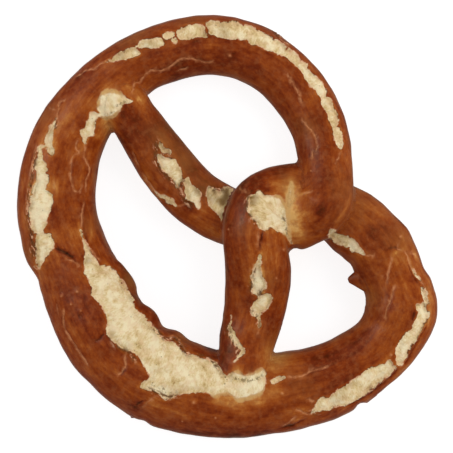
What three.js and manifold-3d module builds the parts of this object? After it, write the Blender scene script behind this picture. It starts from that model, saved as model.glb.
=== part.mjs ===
// Soft pretzel, one piece of baked dough, lying on its flat underside.
// Units are millimetres, +Z is up. The thick belly lies along -Y and the two loops along +Y.
// The origin is under the middle of the whole, at the height of the tray it was baked on.
//
// The rope of dough starts at its left end, passes under itself, crosses over, runs round the left
// loop, the belly and the right loop, and crosses back to its right end. It is swept in three
// lengths, which are joined, and the crust is then cut open down to the crumb where it has split.

import * as THREE from "three";
import { mergeVertices } from "three/addons/utils/BufferGeometryUtils.js";
import Module from "manifold-3d";

const wasm = await Module();
wasm.setup();

// ---------------------------------------------------------------- driving dimensions

// The rope's stations: [x, y, half width, height of its underside above the tray].
const LEFT_ARM = [
  [-56, -18.3, 8.8, 7.5],
  [-45, -15, 9.6, 3],
  [-30, -10.6, 10.6, 0],
  [-15, -3.8, 10.8, 0],
  [-4.5, 5.5, 11, 0],
  [4, 19, 9.6, 3],
  [7, 31, 9.4, 7.5],
  [3.5, 41.3, 10, 11.5],
  [-6, 46.2, 9.7, 8.5],
  [-17, 48.4, 10.4, 4],
];
const BODY = [
  [-28, 49.1, 10.9, 1],
  [-40, 46.7, 11.2, 0],
  [-52.3, 40.8, 11.2, 0],
  [-63.1, 31.1, 11.3, 0],
  [-69.6, 18.2, 11.4, 0],
  [-71.2, 4, 11.4, 0],
  [-70.1, -10, 11.5, 0],
  [-64.7, -25.3, 12.2, 0],
  [-54.1, -40.2, 13.6, 0],
  [-41.1, -50, 14.6, 0],
  [-25, -56.2, 15.1, 0],
  [-5, -55.9, 15.3, 0],
  [14, -53.8, 17, 0],
  [30.8, -49.4, 17.8, 0],
  [45.5, -38.4, 18.2, 0],
  [57, -23.7, 16.8, 0],
  [63.6, -8, 15.6, 0],
  [66.5, 8, 15, 0],
  [67.5, 21.5, 14.4, 0],
  [65.2, 36, 13.4, 0],
  [59.8, 48.9, 13, 0],
  [50.2, 57.8, 13.8, 0],
  [38.5, 58.9, 12.4, 0],
];
const RIGHT_ARM = [
  [26, 57, 12.8, 0],
  [14, 51.3, 12.9, 0],
  [4.5, 44.3, 11.4, 0.5],
  [-4, 36.6, 10.8, 2],
  [-7.3, 27.5, 9.9, 5.5],
  [-5, 18.5, 10.6, 9.5],
  [5, 12.8, 11.6, 11],
  [19, 10.2, 12.4, 7.5],
  [32, 4.9, 12, 3.5],
  [43, -1.8, 10.6, 5],
  [50.5, -6.2, 9.4, 9.5],
];

// The rope is less high than wide, and the more so the thicker it is.
const HEIGHT_BASE = 3;
const HEIGHT_PER_HALF_WIDTH = 1.4;
// Its section is widest at this share of its height, and flat below.
const BELT_SHARE = 0.44;
const SINK_SHARE = 0.05;
const TOP_POWER = 2.15;
const BOTTOM_POWER = 2.7;
const TOP_STEPS = 12;
const BOTTOM_STEPS = 6;
const RING_STEP = 3.4;
const TIP_STEPS = 4;
const CURVE_DIVISIONS = 30;

// The crust's thickness, which is how deep its splits are.
const CRUST_DEPTH = 1.3;
// The splits' edges: how far apart their corners are, how much of the half width they stray, and
// how many radians the stray runs through in a millimetre along X and along Y.
const SPLIT_STEP = 3.2;
const SPLIT_RAGGEDNESS = 0.16;
const RAGGED_ALONG_X = 1.7;
const RAGGED_ALONG_Y = 2.3;
const SPLIT_TOP = 60;

// The splits: the height they start from, and stations [x, y, half width] along each.
const SPLITS = [
  {
    name: "left loop, outer", from: 9,
    along: [
      [-14.5, 54.8, 0.4], [-20, 55.3, 1.7], [-32, 55.2, 1.8], [-45, 52, 1.9], [-55, 48, 2], [-63.5, 41.8, 2.6],
      [-70, 32.5, 3.3], [-72.8, 25, 3.2], [-75.2, 19.5, 0.8], [-75.8, 12, 2.3], [-76, 5.2, 0.8], [-76, 0, 2.1],
      [-75.6, -6.5, 0.8], [-75.2, -11, 1.8], [-74.6, -20, 0.4],
    ],
  },
  {
    name: "belly", from: 12,
    along: [
      [-17, -49.8, 0.4], [-5, -50.2, 1.9], [4, -46.8, 5.2], [14, -44.5, 5.9], [24, -43, 7], [34, -38, 6.3],
      [43, -31.5, 9.5], [50, -24, 8], [55.5, -15.5, 6.2], [60.5, -8, 4.2], [60, -0.5, 2.2],
    ],
  },
  {
    name: "belly, outer left", from: 10,
    along: [
      [-60, -45.5, 0.4], [-54, -49.4, 1.1], [-49, -52.4, 1.2], [-41, -56.5, 2.3], [-33, -60, 4],
      [-25, -63.2, 3.4], [-17, -64.6, 3.6], [-8, -69, 0.5],
    ],
  },
  {
    name: "right loop, outer", from: 10,
    along: [
      [44, 68, 0.5], [51.5, 65.8, 1.6], [58, 60.2, 2.7], [64.5, 54, 2.6], [69.2, 49.8, 1.2], [70.5, 44, 2.4],
      [73, 36, 3], [75.3, 28, 3], [76, 20, 2], [76.5, 13, 0.4],
    ],
  },
  { name: "right loop, inner", from: 11, along: [[13, 41.5, 0.6], [18, 45.2, 1.9], [22, 47.8, 1.9], [26, 50.8, 0.5]] },
  {
    name: "right arm", from: 17,
    along: [
      [13, 12.8, 0.5], [19, 10.2, 1.7], [25, 8.3, 2.5], [30, 8.2, 3.2], [34.5, 4.8, 2.2], [39.5, 3.3, 0.4],
    ],
  },
  {
    name: "left arm, upper", from: 9,
    along: [[-39, -10, 0.5], [-32, -9.6, 2.4], [-24, -7.4, 2.2], [-17, -4.6, 2.4], [-10, -3.8, 0.6]],
  },
  { name: "left arm, lower", from: 9, along: [[-14, -11.5, 0.5], [-18, -14.6, 1.1], [-24, -18, 0.8]] },
  { name: "twist", from: 20, along: [[-2, 27.5, 2.5], [-1.5, 22, 5], [-2.5, 15.5, 3.4]] },
  {
    name: "left end", from: 13,
    along: [
      [-60.5, -17.5, 1], [-59.5, -22.5, 4.2], [-57.5, -28.5, 2], [-53.5, -34.6, 1.9], [-49, -38.2, 0.5],
    ],
  },
];

// Torn flakes of crust: [x, y, z of the root, reach, width, thickness, turn in degrees].
const FLAKES = [
  [34.3, 49.5, 12, 8.4, 14, 7, -99],
  [77.6, 37.4, 10, 4.9, 4.6, 8, -52],
  [51.5, -49, 9, 8.2, 11, 9, -30],
  [-14, -69.4, 8, 7.6, 6, 9, -17],
];
const FLAKE_SIDES = 6;

// Lumps of crust along the rope's sides: [x, y, z, length, width, height, turn in degrees].
const LUMPS = [
  [6.5, -39, 13, 14, 3, 9, 9],
  [24, -34.3, 14, 11, 3, 9, 14],
  [34.6, -27.6, 14, 9, 3, 9, 40],
  [45, 49, 10, 8, 2.6, 8, -14],
];
const LUMP_SIDES = 8;
const LUMP_ROWS = 5;

const CRUST_COLOUR = 0x8b4119;

// ---------------------------------------------------------------- the rope

// A smooth route through stations, as evenly spaced places with the rope's size at each.
function layRope(stations, step) {
  const plan = smoothCurve(stations.map(([x, y]) => [x, y]), "centripetal");
  const size = smoothCurve(stations.map(([, , halfWidth, lift]) => [halfWidth, lift]), "catmullrom");
  const count = Math.round(plan.getLength() / step);
  const places = [];
  for (let i = 0; i <= count; i++) {
    const t = plan.getUtoTmapping(i / count);
    const at = plan.getPoint(t);
    const { x: halfWidth, y: lift } = size.getPoint(t);
    places.push({ x: at.x, y: at.y, heading: plan.getTangent(t), halfWidth, lift: Math.max(lift, 0) });
  }
  return places;
}

function smoothCurve(pairs, kind) {
  const curve = new THREE.CatmullRomCurve3(pairs.map(([a, b]) => new THREE.Vector3(a, b, 0)), false, kind);
  curve.arcLengthDivisions = CURVE_DIVISIONS * (pairs.length - 1);
  return curve;
}

// Points round the rope's section, as shares of its half width (side) and of its height (up).
function sectionPoints() {
  const points = [];
  for (let i = 0; i < TOP_STEPS; i++) points.push(sectionPoint((Math.PI * i) / TOP_STEPS));
  for (let i = 0; i < BOTTOM_STEPS; i++) points.push(sectionPoint(Math.PI + (Math.PI * i) / BOTTOM_STEPS));
  return points;
}

function sectionPoint(angle) {
  const upper = angle <= Math.PI;
  const power = 2 / (upper ? TOP_POWER : BOTTOM_POWER);
  const side = Math.sign(Math.cos(angle)) * Math.abs(Math.cos(angle)) ** power;
  const rise = Math.abs(Math.sin(angle)) ** power;
  const up = upper ? BELT_SHARE + (1 - BELT_SHARE) * rise : BELT_SHARE - (BELT_SHARE + SINK_SHARE) * rise;
  return { side, up: Math.max(up, 0) };
}

// One ring of the rope's surface: its section at a place, made smaller by inset all round.
function ring(place, inset, shrink = 1) {
  const height = HEIGHT_BASE + HEIGHT_PER_HALF_WIDTH * place.halfWidth;
  const belt = place.lift + BELT_SHARE * height;
  const side = new THREE.Vector3(place.heading.y, -place.heading.x, 0).normalize();
  return sectionPoints().map((point) => {
    const out = point.side * (place.halfWidth - inset) * shrink;
    const rise = (point.up - BELT_SHARE) * (height - 2 * inset) * shrink;
    return new THREE.Vector3(place.x + side.x * out, place.y + side.y * out, belt + rise);
  });
}

// The rope's rounded end: rings that close in, past a place, in its heading or against it.
function tipRings(place, sense, inset) {
  const rings = [];
  const reach = place.halfWidth - inset;
  for (let i = 1; i < TIP_STEPS; i++) {
    const angle = (Math.PI / 2) * (i / TIP_STEPS);
    const ahead = sense * reach * Math.sin(angle);
    const there = { ...place, x: place.x + place.heading.x * ahead, y: place.y + place.heading.y * ahead };
    rings.push(ring(there, inset, Math.cos(angle)));
  }
  return rings;
}

// A closed solid through a row of rings, with a fan of triangles over each end.
function skin(rings, startPoint, endPoint) {
  const sides = rings[0].length;
  const vertices = rings.flat();
  const faces = [];
  for (let r = 0; r + 1 < rings.length; r++) {
    for (let k = 0; k < sides; k++) {
      const a = r * sides + k;
      const b = r * sides + ((k + 1) % sides);
      faces.push(a, b, a + sides, b, b + sides, a + sides);
    }
  }
  const start = vertices.push(startPoint) - 1;
  const end = vertices.push(endPoint) - 1;
  const last = (rings.length - 1) * sides;
  for (let k = 0; k < sides; k++) {
    const next = (k + 1) % sides;
    faces.push(start, next, k);
    faces.push(end, last + k, last + next);
  }
  return solid(vertices, faces);
}

function solid(vertices, faces) {
  const vertProperties = new Float32Array(vertices.flatMap((v) => [v.x, v.y, v.z]));
  const made = new wasm.Manifold(new wasm.Mesh({ numProp: 3, vertProperties, triVerts: new Uint32Array(faces) }));
  return made.volume() > 0 ? made : new wasm.Manifold(new wasm.Mesh({
    numProp: 3, vertProperties, triVerts: new Uint32Array(faces).reverse(),
  }));
}

function centreOf(points) {
  return points.reduce((sum, p) => sum.add(p), new THREE.Vector3()).divideScalar(points.length);
}

// The whole rope, made smaller by inset: the two arms and the body between them.
function rope(inset) {
  const whole = layRope([...LEFT_ARM, ...BODY, ...RIGHT_ARM], RING_STEP);
  const nearest = ([x, y]) => {
    const away = whole.map((place) => Math.hypot(place.x - x, place.y - y));
    return away.indexOf(Math.min(...away));
  };
  const leftJoin = nearest(BODY[0]);
  const rightJoin = nearest(RIGHT_ARM[0]);
  const rings = whole.map((place) => ring(place, inset));
  const leftTip = tipRings(whole[0], -1, inset).reverse();
  const rightTip = tipRings(whole[whole.length - 1], 1, inset);
  const tipPoint = (place, sense) => new THREE.Vector3(
    place.x + sense * place.heading.x * (place.halfWidth - inset),
    place.y + sense * place.heading.y * (place.halfWidth - inset),
    place.lift + BELT_SHARE * (HEIGHT_BASE + HEIGHT_PER_HALF_WIDTH * place.halfWidth),
  );
  const leftArm = [...leftTip, ...rings.slice(0, leftJoin + 1)];
  const body = rings.slice(leftJoin, rightJoin + 1);
  const rightArm = [...rings.slice(rightJoin), ...rightTip];
  return skin(leftArm, tipPoint(whole[0], -1), centreOf(rings[leftJoin]))
    .add(skin(body, centreOf(rings[leftJoin]), centreOf(rings[rightJoin])))
    .add(skin(rightArm, centreOf(rings[rightJoin]), tipPoint(whole[whole.length - 1], 1)));
}

// ---------------------------------------------------------------- crust splits and crags

// A geometry's triangles as a solid, with the vertices that faces share merged.
function solidOf(geometry) {
  const bare = geometry.index ? geometry : geometry.clone();
  bare.deleteAttribute("normal");
  bare.deleteAttribute("uv");
  const merged = mergeVertices(bare);
  const places = merged.getAttribute("position");
  const vertices = [];
  for (let i = 0; i < places.count; i++) vertices.push(new THREE.Vector3().fromBufferAttribute(places, i));
  return solid(vertices, Array.from(merged.index.array));
}

// A ragged ribbon seen from above, stood up as an upright block that cuts the crust.
function splitBlock({ along, from }) {
  const line = smoothCurve(along, "centripetal");
  const count = Math.max(4, Math.round(line.getLength() / SPLIT_STEP));
  const left = [];
  const right = [];
  for (let i = 0; i <= count; i++) {
    const t = line.getUtoTmapping(i / count);
    const at = line.getPoint(t);
    const heading = line.getTangent(t);
    const place = t * (along.length - 1);
    const first = Math.min(Math.floor(place), along.length - 2);
    const half = THREE.MathUtils.lerp(along[first][2], along[first + 1][2], place - first);
    const stray = Math.sin(at.x * RAGGED_ALONG_X) * Math.cos(at.y * RAGGED_ALONG_Y);
    const tear = half * (1 + SPLIT_RAGGEDNESS * stray);
    left.push(new THREE.Vector2(at.x - heading.y * tear, at.y + heading.x * tear));
    right.unshift(new THREE.Vector2(at.x + heading.y * tear, at.y - heading.x * tear));
  }
  const block = new THREE.ExtrudeGeometry(new THREE.Shape([...left, ...right]), {
    depth: SPLIT_TOP - from, bevelEnabled: false, steps: 1,
  });
  return solidOf(block.translate(0, 0, from));
}

// A pointed flake of crust, with its root buried in the rope's side.
function flake([x, y, z, reach, width, thickness, turn]) {
  const point = new THREE.ConeGeometry(1, 1, FLAKE_SIDES).rotateZ(-Math.PI / 2).translate(0.5, 0, 0);
  point.scale(reach, width / 2, thickness / 2);
  return solidOf(point.rotateZ(THREE.MathUtils.degToRad(turn)).translate(x, y, z));
}

// A rounded lump of crust, half buried in the rope's side.
function lump([x, y, z, length, width, height, turn]) {
  const ball = new THREE.SphereGeometry(1, LUMP_SIDES, LUMP_ROWS).scale(length / 2, width, height / 2);
  return solidOf(ball.rotateZ(THREE.MathUtils.degToRad(turn)).translate(x, y, z));
}

function pretzelSolid() {
  const crumb = rope(CRUST_DEPTH);
  const opening = SPLITS.map(splitBlock).reduce((all, block) => all.add(block)).subtract(crumb);
  const crags = [...FLAKES.map(flake), ...LUMPS.map(lump)];
  return crags.reduce((all, piece) => all.add(piece), rope(0)).subtract(opening);
}

// ---------------------------------------------------------------- the part

function meshGeometry(made) {
  const { vertProperties, triVerts } = made.getMesh();
  const geometry = new THREE.BufferGeometry();
  geometry.setAttribute("position", new THREE.BufferAttribute(vertProperties, 3));
  geometry.setIndex(new THREE.BufferAttribute(triVerts, 1));
  geometry.computeVertexNormals();
  return geometry;
}

const pretzel = new THREE.Mesh(
  meshGeometry(pretzelSolid()),
  new THREE.MeshStandardMaterial({ color: CRUST_COLOUR, roughness: 0.45, metalness: 0 }),
);
pretzel.name = "pretzel";

const part = new THREE.Group();
part.add(pretzel);

export default part;
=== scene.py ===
from math import radians

import bmesh
import bpy
import numpy as np
from mathutils import Matrix, Vector, noise


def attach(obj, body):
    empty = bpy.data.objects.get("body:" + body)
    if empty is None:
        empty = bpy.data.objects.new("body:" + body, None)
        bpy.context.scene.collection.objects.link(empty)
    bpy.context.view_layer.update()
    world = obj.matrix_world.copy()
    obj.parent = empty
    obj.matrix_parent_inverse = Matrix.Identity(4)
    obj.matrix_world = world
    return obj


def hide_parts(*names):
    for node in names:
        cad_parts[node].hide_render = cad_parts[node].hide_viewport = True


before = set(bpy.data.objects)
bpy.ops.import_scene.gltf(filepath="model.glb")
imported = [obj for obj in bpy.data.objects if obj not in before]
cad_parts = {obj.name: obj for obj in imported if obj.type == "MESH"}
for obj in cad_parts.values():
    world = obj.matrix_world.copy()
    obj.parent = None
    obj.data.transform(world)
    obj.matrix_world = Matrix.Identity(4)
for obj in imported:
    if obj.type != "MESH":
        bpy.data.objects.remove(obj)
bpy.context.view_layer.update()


# ---- Camera --------------------------------------------------------------------------------
# The pretzel lies flat and is looked at from straight above through a long lens, so it hardly
# tapers with height. The picture is turned so that the left loop is at its top.

MM = 0.001
PICTURE_PIXELS = 453
MM_PER_PIXEL = 0.38248
PICTURE_TURN = radians(72)
PICTURE_MIDDLE = Vector((-0.73, 4.06, 11.0)) * MM
LENS = 150
SENSOR = 36
NEAREST_SEEN = 0.05

picture_up = Vector((-np.sin(PICTURE_TURN), np.cos(PICTURE_TURN), 0))
picture_right = Vector((np.cos(PICTURE_TURN), np.sin(PICTURE_TURN), 0))
picture_width = PICTURE_PIXELS * MM_PER_PIXEL * MM
camera_height = LENS * picture_width / SENSOR

camera = bpy.data.objects.new("camera", bpy.data.cameras.new("camera"))
camera.data.lens = LENS
camera.data.sensor_width = SENSOR
camera.data.clip_start = NEAREST_SEEN
facing = Matrix((picture_right, picture_up, Vector((0, 0, 1)))).transposed()
camera.matrix_world = Matrix.Translation(PICTURE_MIDDLE + Vector((0, 0, camera_height))) @ facing.to_4x4()
bpy.context.scene.collection.objects.link(camera)
bpy.context.scene.camera = camera


# ---- Table and lights ----------------------------------------------------------------------
# A matt white table that glows a little, with a large soft box high at the picture's right, a
# small one low at its left, one above that which gives the crust its shine, and even light all round.

TABLE_SIZE = 3.0
TABLE_DROP = 0.0003
TABLE_FINISH = {
    "Base Color": (0.30, 0.30, 0.305, 1),
    "Roughness": 0.9,
    "Specular IOR Level": 0.0,
    "Emission Color": (1, 1, 1, 1),
    "Emission Strength": 0.85,
}
ROOM_LIGHT = {"Color": (1, 1, 1, 1), "Strength": 0.62}
# Each soft box: how far to the picture's right, to its top and up it stands, its size and power,
# and whether it only gives the crust its shine.
SOFT_BOXES = {
    "main_box": (0.85, 0.30, 0.80, 1.00, 6.6, False),
    "left_box": (-0.68, 0.36, 0.26, 0.36, 1.6, False),
    "shine_box": (-0.50, 0.28, 0.56, 0.34, 3.2, True),
}

bpy.ops.mesh.primitive_plane_add(size=TABLE_SIZE, location=(0, 0, -TABLE_DROP))
table = bpy.context.object
table.name = "table"
table_white = bpy.data.materials.new("table_white")
table_white.use_nodes = True
for name, value in TABLE_FINISH.items():
    table_white.node_tree.nodes["Principled BSDF"].inputs[name].default_value = value
table.data.materials.append(table_white)
table.visible_glossy = False

for name, (right, up, high, size, power, shines) in SOFT_BOXES.items():
    box = bpy.data.objects.new(name, bpy.data.lights.new(name, "AREA"))
    box.data.shape = "SQUARE"
    box.data.size = size
    box.data.energy = power
    box.location = picture_right * right + picture_up * up + Vector((0, 0, high))
    box.rotation_euler = box.location.to_track_quat("Z", "Y").to_euler()
    box.visible_glossy = shines
    box.visible_diffuse = not shines
    bpy.context.scene.collection.objects.link(box)

room = bpy.data.worlds.new("room")
room.use_nodes = True
for name, value in ROOM_LIGHT.items():
    room.node_tree.nodes["Background"].inputs[name].default_value = value
room.cycles_visibility.glossy = False
bpy.context.scene.world = room
bpy.context.scene.view_settings.view_transform = "Standard"


# ---- Rope of dough -------------------------------------------------------------------------
# One rope of wheat dough, thin at its ends and thick at the belly, rolled by hand, slung round
# and laid over itself twice. It has baked on a flat tray, so its underside is flat.

# Stations along the rope, in millimetres: x, y, half width, height of the underside.
LEFT_ARM = [
    (-56, -18.3, 8.8, 7.5), (-45, -15, 9.6, 3), (-30, -10.6, 10.6, 0), (-15, -3.8, 10.8, 0),
    (-4.5, 5.5, 11, 0), (4, 19, 9.6, 3), (7, 31, 9.4, 7.5), (3.5, 41.3, 10, 11.5),
    (-6, 46.2, 9.7, 8.5), (-17, 48.4, 10.4, 4),
]
BODY = [
    (-28, 49.1, 10.9, 1), (-40, 46.7, 11.2, 0), (-52.3, 40.8, 11.2, 0), (-63.1, 31.1, 11.3, 0),
    (-69.6, 18.2, 11.4, 0), (-71.2, 4, 11.4, 0), (-70.1, -10, 11.5, 0), (-64.7, -25.3, 12.2, 0),
    (-54.1, -40.2, 13.6, 0), (-41.1, -50, 14.6, 0), (-25, -56.2, 15.1, 0), (-5, -55.9, 15.3, 0),
    (14, -53.8, 17, 0), (30.8, -49.4, 17.8, 0), (45.5, -38.4, 18.2, 0), (57, -23.7, 16.8, 0),
    (63.6, -8, 15.6, 0), (66.5, 8, 15, 0), (67.5, 21.5, 14.4, 0), (65.2, 36, 13.4, 0),
    (59.8, 48.9, 13, 0), (50.2, 57.8, 13.8, 0), (38.5, 58.9, 12.4, 0),
]
RIGHT_ARM = [
    (26, 57, 12.8, 0), (14, 51.3, 12.9, 0), (4.5, 44.3, 11.4, 0.5), (-4, 36.6, 10.8, 2),
    (-7.3, 27.5, 9.9, 5.5), (-5, 18.5, 10.6, 9.5), (5, 12.8, 11.6, 11), (19, 10.2, 12.4, 7.5),
    (32, 4.9, 12, 3.5), (43, -1.8, 10.6, 5), (50.5, -6.2, 9.4, 9.5),
]
HEIGHT_BASE = 3
HEIGHT_PER_HALF_WIDTH = 1.4
BELT_SHARE = 0.44
SINK_SHARE = 0.05
TOP_POWER = 2.15
BOTTOM_POWER = 2.7
STEPS_PER_GAP = 24
RING_EVERY = 3
SECTION_POINTS = 44
TIP_RINGS = 6
NEAR_ZERO = 1e-6


def smooth_line(points, steps, even=True):
    """A smooth line through given points. Even spacing suits places, the plain kind suits sizes."""
    points = np.array(points, float)
    padded = np.vstack([2 * points[0] - points[1], points, 2 * points[-1] - points[-2]])
    t = np.linspace(0, 1, steps, endpoint=False)[:, None]
    parts = []
    for before, start, end, after in zip(padded, padded[1:], padded[2:], padded[3:]):
        if even:
            pairs = ((before, start), (start, end), (end, after))
            first, gap, last = [max(np.linalg.norm(b - a) ** 0.5, NEAR_ZERO) for a, b in pairs]
            leave = (start - before) / first - (end - before) / (first + gap) + (end - start) / gap
            arrive = (end - start) / gap - (after - start) / (gap + last) + (after - end) / last
            leave, arrive = leave * gap, arrive * gap
        else:
            leave, arrive = (end - before) / 2, (after - start) / 2
        parts.append((2 * t**3 - 3 * t**2 + 1) * start + (t**3 - 2 * t**2 + t) * leave
                     + (3 * t**2 - 2 * t**3) * end + (t**3 - t**2) * arrive)
    return np.vstack(parts + [points[-1:]])


def directions(line):
    """The way a line heads at each of its points, and what lies square to its right there."""
    ahead = np.gradient(line, axis=0)
    ahead /= np.linalg.norm(ahead, axis=1, keepdims=True)
    return ahead, np.stack([ahead[:, 1], -ahead[:, 0]], 1)


def way_along(line):
    """How far along a line each of its points lies."""
    return np.concatenate([[0], np.cumsum(np.linalg.norm(np.diff(line, axis=0), axis=1))])


stations = LEFT_ARM + BODY + RIGHT_ARM
plan = smooth_line([station[:2] for station in stations], STEPS_PER_GAP)
half_width, lift = smooth_line([station[2:] for station in stations], STEPS_PER_GAP, even=False).T
lift = lift.clip(0)
heading, side = directions(plan)
along_rope = way_along(plan)
height = HEIGHT_BASE + HEIGHT_PER_HALF_WIDTH * half_width
belt = lift + BELT_SHARE * height
left_join = len(LEFT_ARM) * STEPS_PER_GAP
right_join = (len(LEFT_ARM) + len(BODY)) * STEPS_PER_GAP
lengths = [(0, left_join), (left_join, right_join), (right_join, len(plan) - 1)]


def section(place, shrink=1.0, ahead=0.0):
    """Points round the rope at one place: domed above its widest height, flat below."""
    angle = np.linspace(0, 2 * np.pi, SECTION_POINTS, endpoint=False)
    power = 2 / np.where(angle <= np.pi, TOP_POWER, BOTTOM_POWER)
    out = np.sign(np.cos(angle)) * abs(np.cos(angle)) ** power * half_width[place] * shrink
    share = np.where(angle <= np.pi, 1 - BELT_SHARE, -BELT_SHARE - SINK_SHARE) * abs(np.sin(angle)) ** power
    rise = share.clip(-BELT_SHARE) * height[place] * shrink
    middle = plan[place] + heading[place] * ahead
    return np.column_stack([middle + side[place] * out[:, None], belt[place] + rise])


def tip(place, sense):
    """Rings that close in over the rope's rounded end."""
    angles = np.arange(1, TIP_RINGS) / TIP_RINGS * np.pi / 2
    return [section(place, np.cos(a), sense * half_width[place] * np.sin(a)) for a in angles]


def tube(rings):
    """A closed skin over a row of rings, as points and faces."""
    count = len(rings[0])
    faces = [list(range(count))[::-1], list(range((len(rings) - 1) * count, len(rings) * count))]
    for r in range(len(rings) - 1):
        for k in range(count):
            a, b = r * count + k, r * count + (k + 1) % count
            faces.append([a, b, b + count, a + count])
    return np.vstack(rings), faces


def rope_tubes():
    """The left arm, the body and the right arm, each a closed tube, with rounded ends on the arms."""
    last = len(plan) - 1
    tubes = []
    for first, end in lengths:
        rings = [section(place) for place in (*range(first, end, RING_EVERY), end)]
        if first == 0:
            rings = tip(0, -1)[::-1] + rings
        if end == last:
            rings = rings + tip(last, 1)
        tubes.append(tube(rings))
    return tubes


def mesh_of(name, shells):
    """One mesh of several shells, each given as points and faces."""
    points, faces, start = [], [], 0
    for shell_points, shell_faces in shells:
        points.append(shell_points)
        faces += [[start + k for k in face] for face in shell_faces]
        start += len(shell_points)
    mesh = bpy.data.meshes.new(name)
    mesh.from_pydata(np.vstack(points).tolist(), [], faces)
    return mesh


# ---- Flakes and lumps ----------------------------------------------------------------------
# Torn scales of hard crust that stand out from the rope's sides, and lumps where the burst crust
# has folded over the belly's inner edge. They are one piece with the rope.

# Flakes: x, y, z of the root, reach, width, thickness, turn in degrees.
FLAKES = [
    (34.3, 49.5, 12, 8.4, 14, 7, -99),
    (77.4, 37.6, 10, 5.0, 3.2, 8, -52),
    (51.5, -49, 9, 8.2, 11, 9, -30),
    (-14, -69.4, 8, 7.6, 6, 9, -17),
]
# Lumps: x, y, z of the middle, length, half depth, height, turn in degrees.
LUMPS = [
    (6.5, -39, 13, 14, 3, 9, 9),
    (24, -34.3, 14, 11, 3, 9, 14),
    (34.6, -27.6, 14, 9, 3, 9, 40),
    (45, 49, 10, 8, 2.6, 8, -14),
]
FLAKE_SIDES = 12
FLAKE_TIP = 0.06
LUMP_FINENESS = 3


def turned(shape, size, x, y, z, turn):
    """A bmesh shape of unit size as a shell: stretched, turned about the upright and put in its place."""
    turning = Matrix.Rotation(radians(turn), 4, "Z") @ Matrix.Diagonal((*size, 1))
    bmesh.ops.transform(shape, matrix=Matrix.Translation((x, y, z)) @ turning, verts=shape.verts)
    points = np.array([point.co[:] for point in shape.verts])
    faces = [[point.index for point in face.verts] for face in shape.faces]
    shape.free()
    return points, faces


def flake(x, y, z, reach, width, thickness, turn):
    shape = bmesh.new()
    pointing = Matrix.Translation((0.5, 0, 0)) @ Matrix.Rotation(radians(90), 4, "Y")
    bmesh.ops.create_cone(shape, cap_ends=True, segments=FLAKE_SIDES, radius1=1, radius2=FLAKE_TIP, depth=1,
                          matrix=pointing)
    return turned(shape, (reach, width / 2, thickness / 2), x, y, z, turn)


def lump(x, y, z, length, depth, tall, turn):
    shape = bmesh.new()
    bmesh.ops.create_icosphere(shape, subdivisions=LUMP_FINENESS, radius=1)
    return turned(shape, (length / 2, depth, tall / 2), x, y, z, turn)


# ---- Joining the dough ---------------------------------------------------------------------
# In the oven the passes of the rope have risen against each other and run together, so all the
# shells become one skin, which is then drawn on to the rounded surface of the risen rope.

GRAIN = 1.25
JOIN_DEPTH = 2.0
# Places where the passes have run together more: x, y, reach, added depth.
WELDS = [(1, 29, 9, 6.5), (57, -6, 6, 2.5), (-58, -20, 6, 2.5), (9, 46, 5, 0.8)]
LUMP_JOIN_DEPTH = 2.5
FLAKE_JOIN_DEPTH = 0.45
# Passes join only where they are this far apart along the rope, wholly from the second length on.
APART = (20, 45)
# How far a point may be drawn, and the steps and bounds that its way is reckoned with.
FURTHEST_PULL = 3.0
SLOPE_STEP = 0.05
STEEPNESS_BOUNDS = (0.4, 1.5)
NEAREST_SHARE = 0.05
SHARP_JOIN = 1e-4
POINTS_AT_ONCE = 8000


def one_skin(name, shells):
    """One closed skin round all the shells, with faces of about the grain's size."""
    piece = bpy.data.objects.new(name, mesh_of(name, shells))
    bpy.context.scene.collection.objects.link(piece)
    remesh = piece.modifiers.new("one skin", "REMESH")
    remesh.mode = "VOXEL"
    remesh.voxel_size = GRAIN
    bpy.context.view_layer.update()
    joined = bpy.data.meshes.new_from_object(piece.evaluated_get(bpy.context.evaluated_depsgraph_get()))
    piece.modifiers.clear()
    piece.data = joined
    return piece


def points_of(mesh):
    points = np.empty(len(mesh.vertices) * 3)
    mesh.vertices.foreach_get("co", points)
    return points.reshape(-1, 3)


def nearest_places(points, first, last):
    """For each point, the place of one length of the rope that it lies beside."""
    places = np.empty(len(points), int)
    line = plan[first:last + 1].astype(np.float32)
    for start in range(0, len(points), POINTS_AT_ONCE):
        batch = slice(start, start + POINTS_AT_ONCE)
        away = points[batch, None, :2].astype(np.float32) - line
        places[batch] = first + (away**2).sum(2).argmin(1)
    return places


def outside_by(points, place, first, last):
    """How far points lie outside one length of the rope, below 0 inside it."""
    away = points[:, :2] - plan[place]
    aside = (away * side[place]).sum(1)
    forward = (away * heading[place]).sum(1)
    past = np.where(place == first, -forward, np.where(place == last, forward, 0)).clip(0)
    rise = points[:, 2] - belt[place]
    power = np.where(rise > 0, TOP_POWER, BOTTOM_POWER)
    reach = np.where(rise > 0, 1 - BELT_SHARE, BELT_SHARE + SINK_SHARE) * height[place]
    share = ((abs(aside) / half_width[place]) ** power + (abs(rise) / reach) ** power) ** (1 / power)
    share = np.hypot(share, past / half_width[place]).clip(NEAREST_SHARE)
    away_from_belt = np.sqrt(aside**2 + rise**2 + past**2)
    return np.maximum(away_from_belt * (1 - 1 / share), lift[place] - points[:, 2])


def smooth_step(x, low, high):
    t = ((x - low) / (high - low)).clip(0, 1)
    return t * t * (3 - 2 * t)


def run_together(one, other, depth):
    """The lower of two distances, rounded off where they are within depth of each other."""
    mix = (0.5 + 0.5 * (other - one) / np.maximum(depth, SHARP_JOIN)).clip(0, 1)
    return other + (one - other) * mix - depth * mix * (1 - mix)


def hill(points, x, y, reach, top=1):
    """A number at a place seen from above, falling softly to 0 over its reach."""
    return top * np.exp(-((points[:, 0] - x) ** 2 + (points[:, 1] - y) ** 2) / reach**2)


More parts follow.
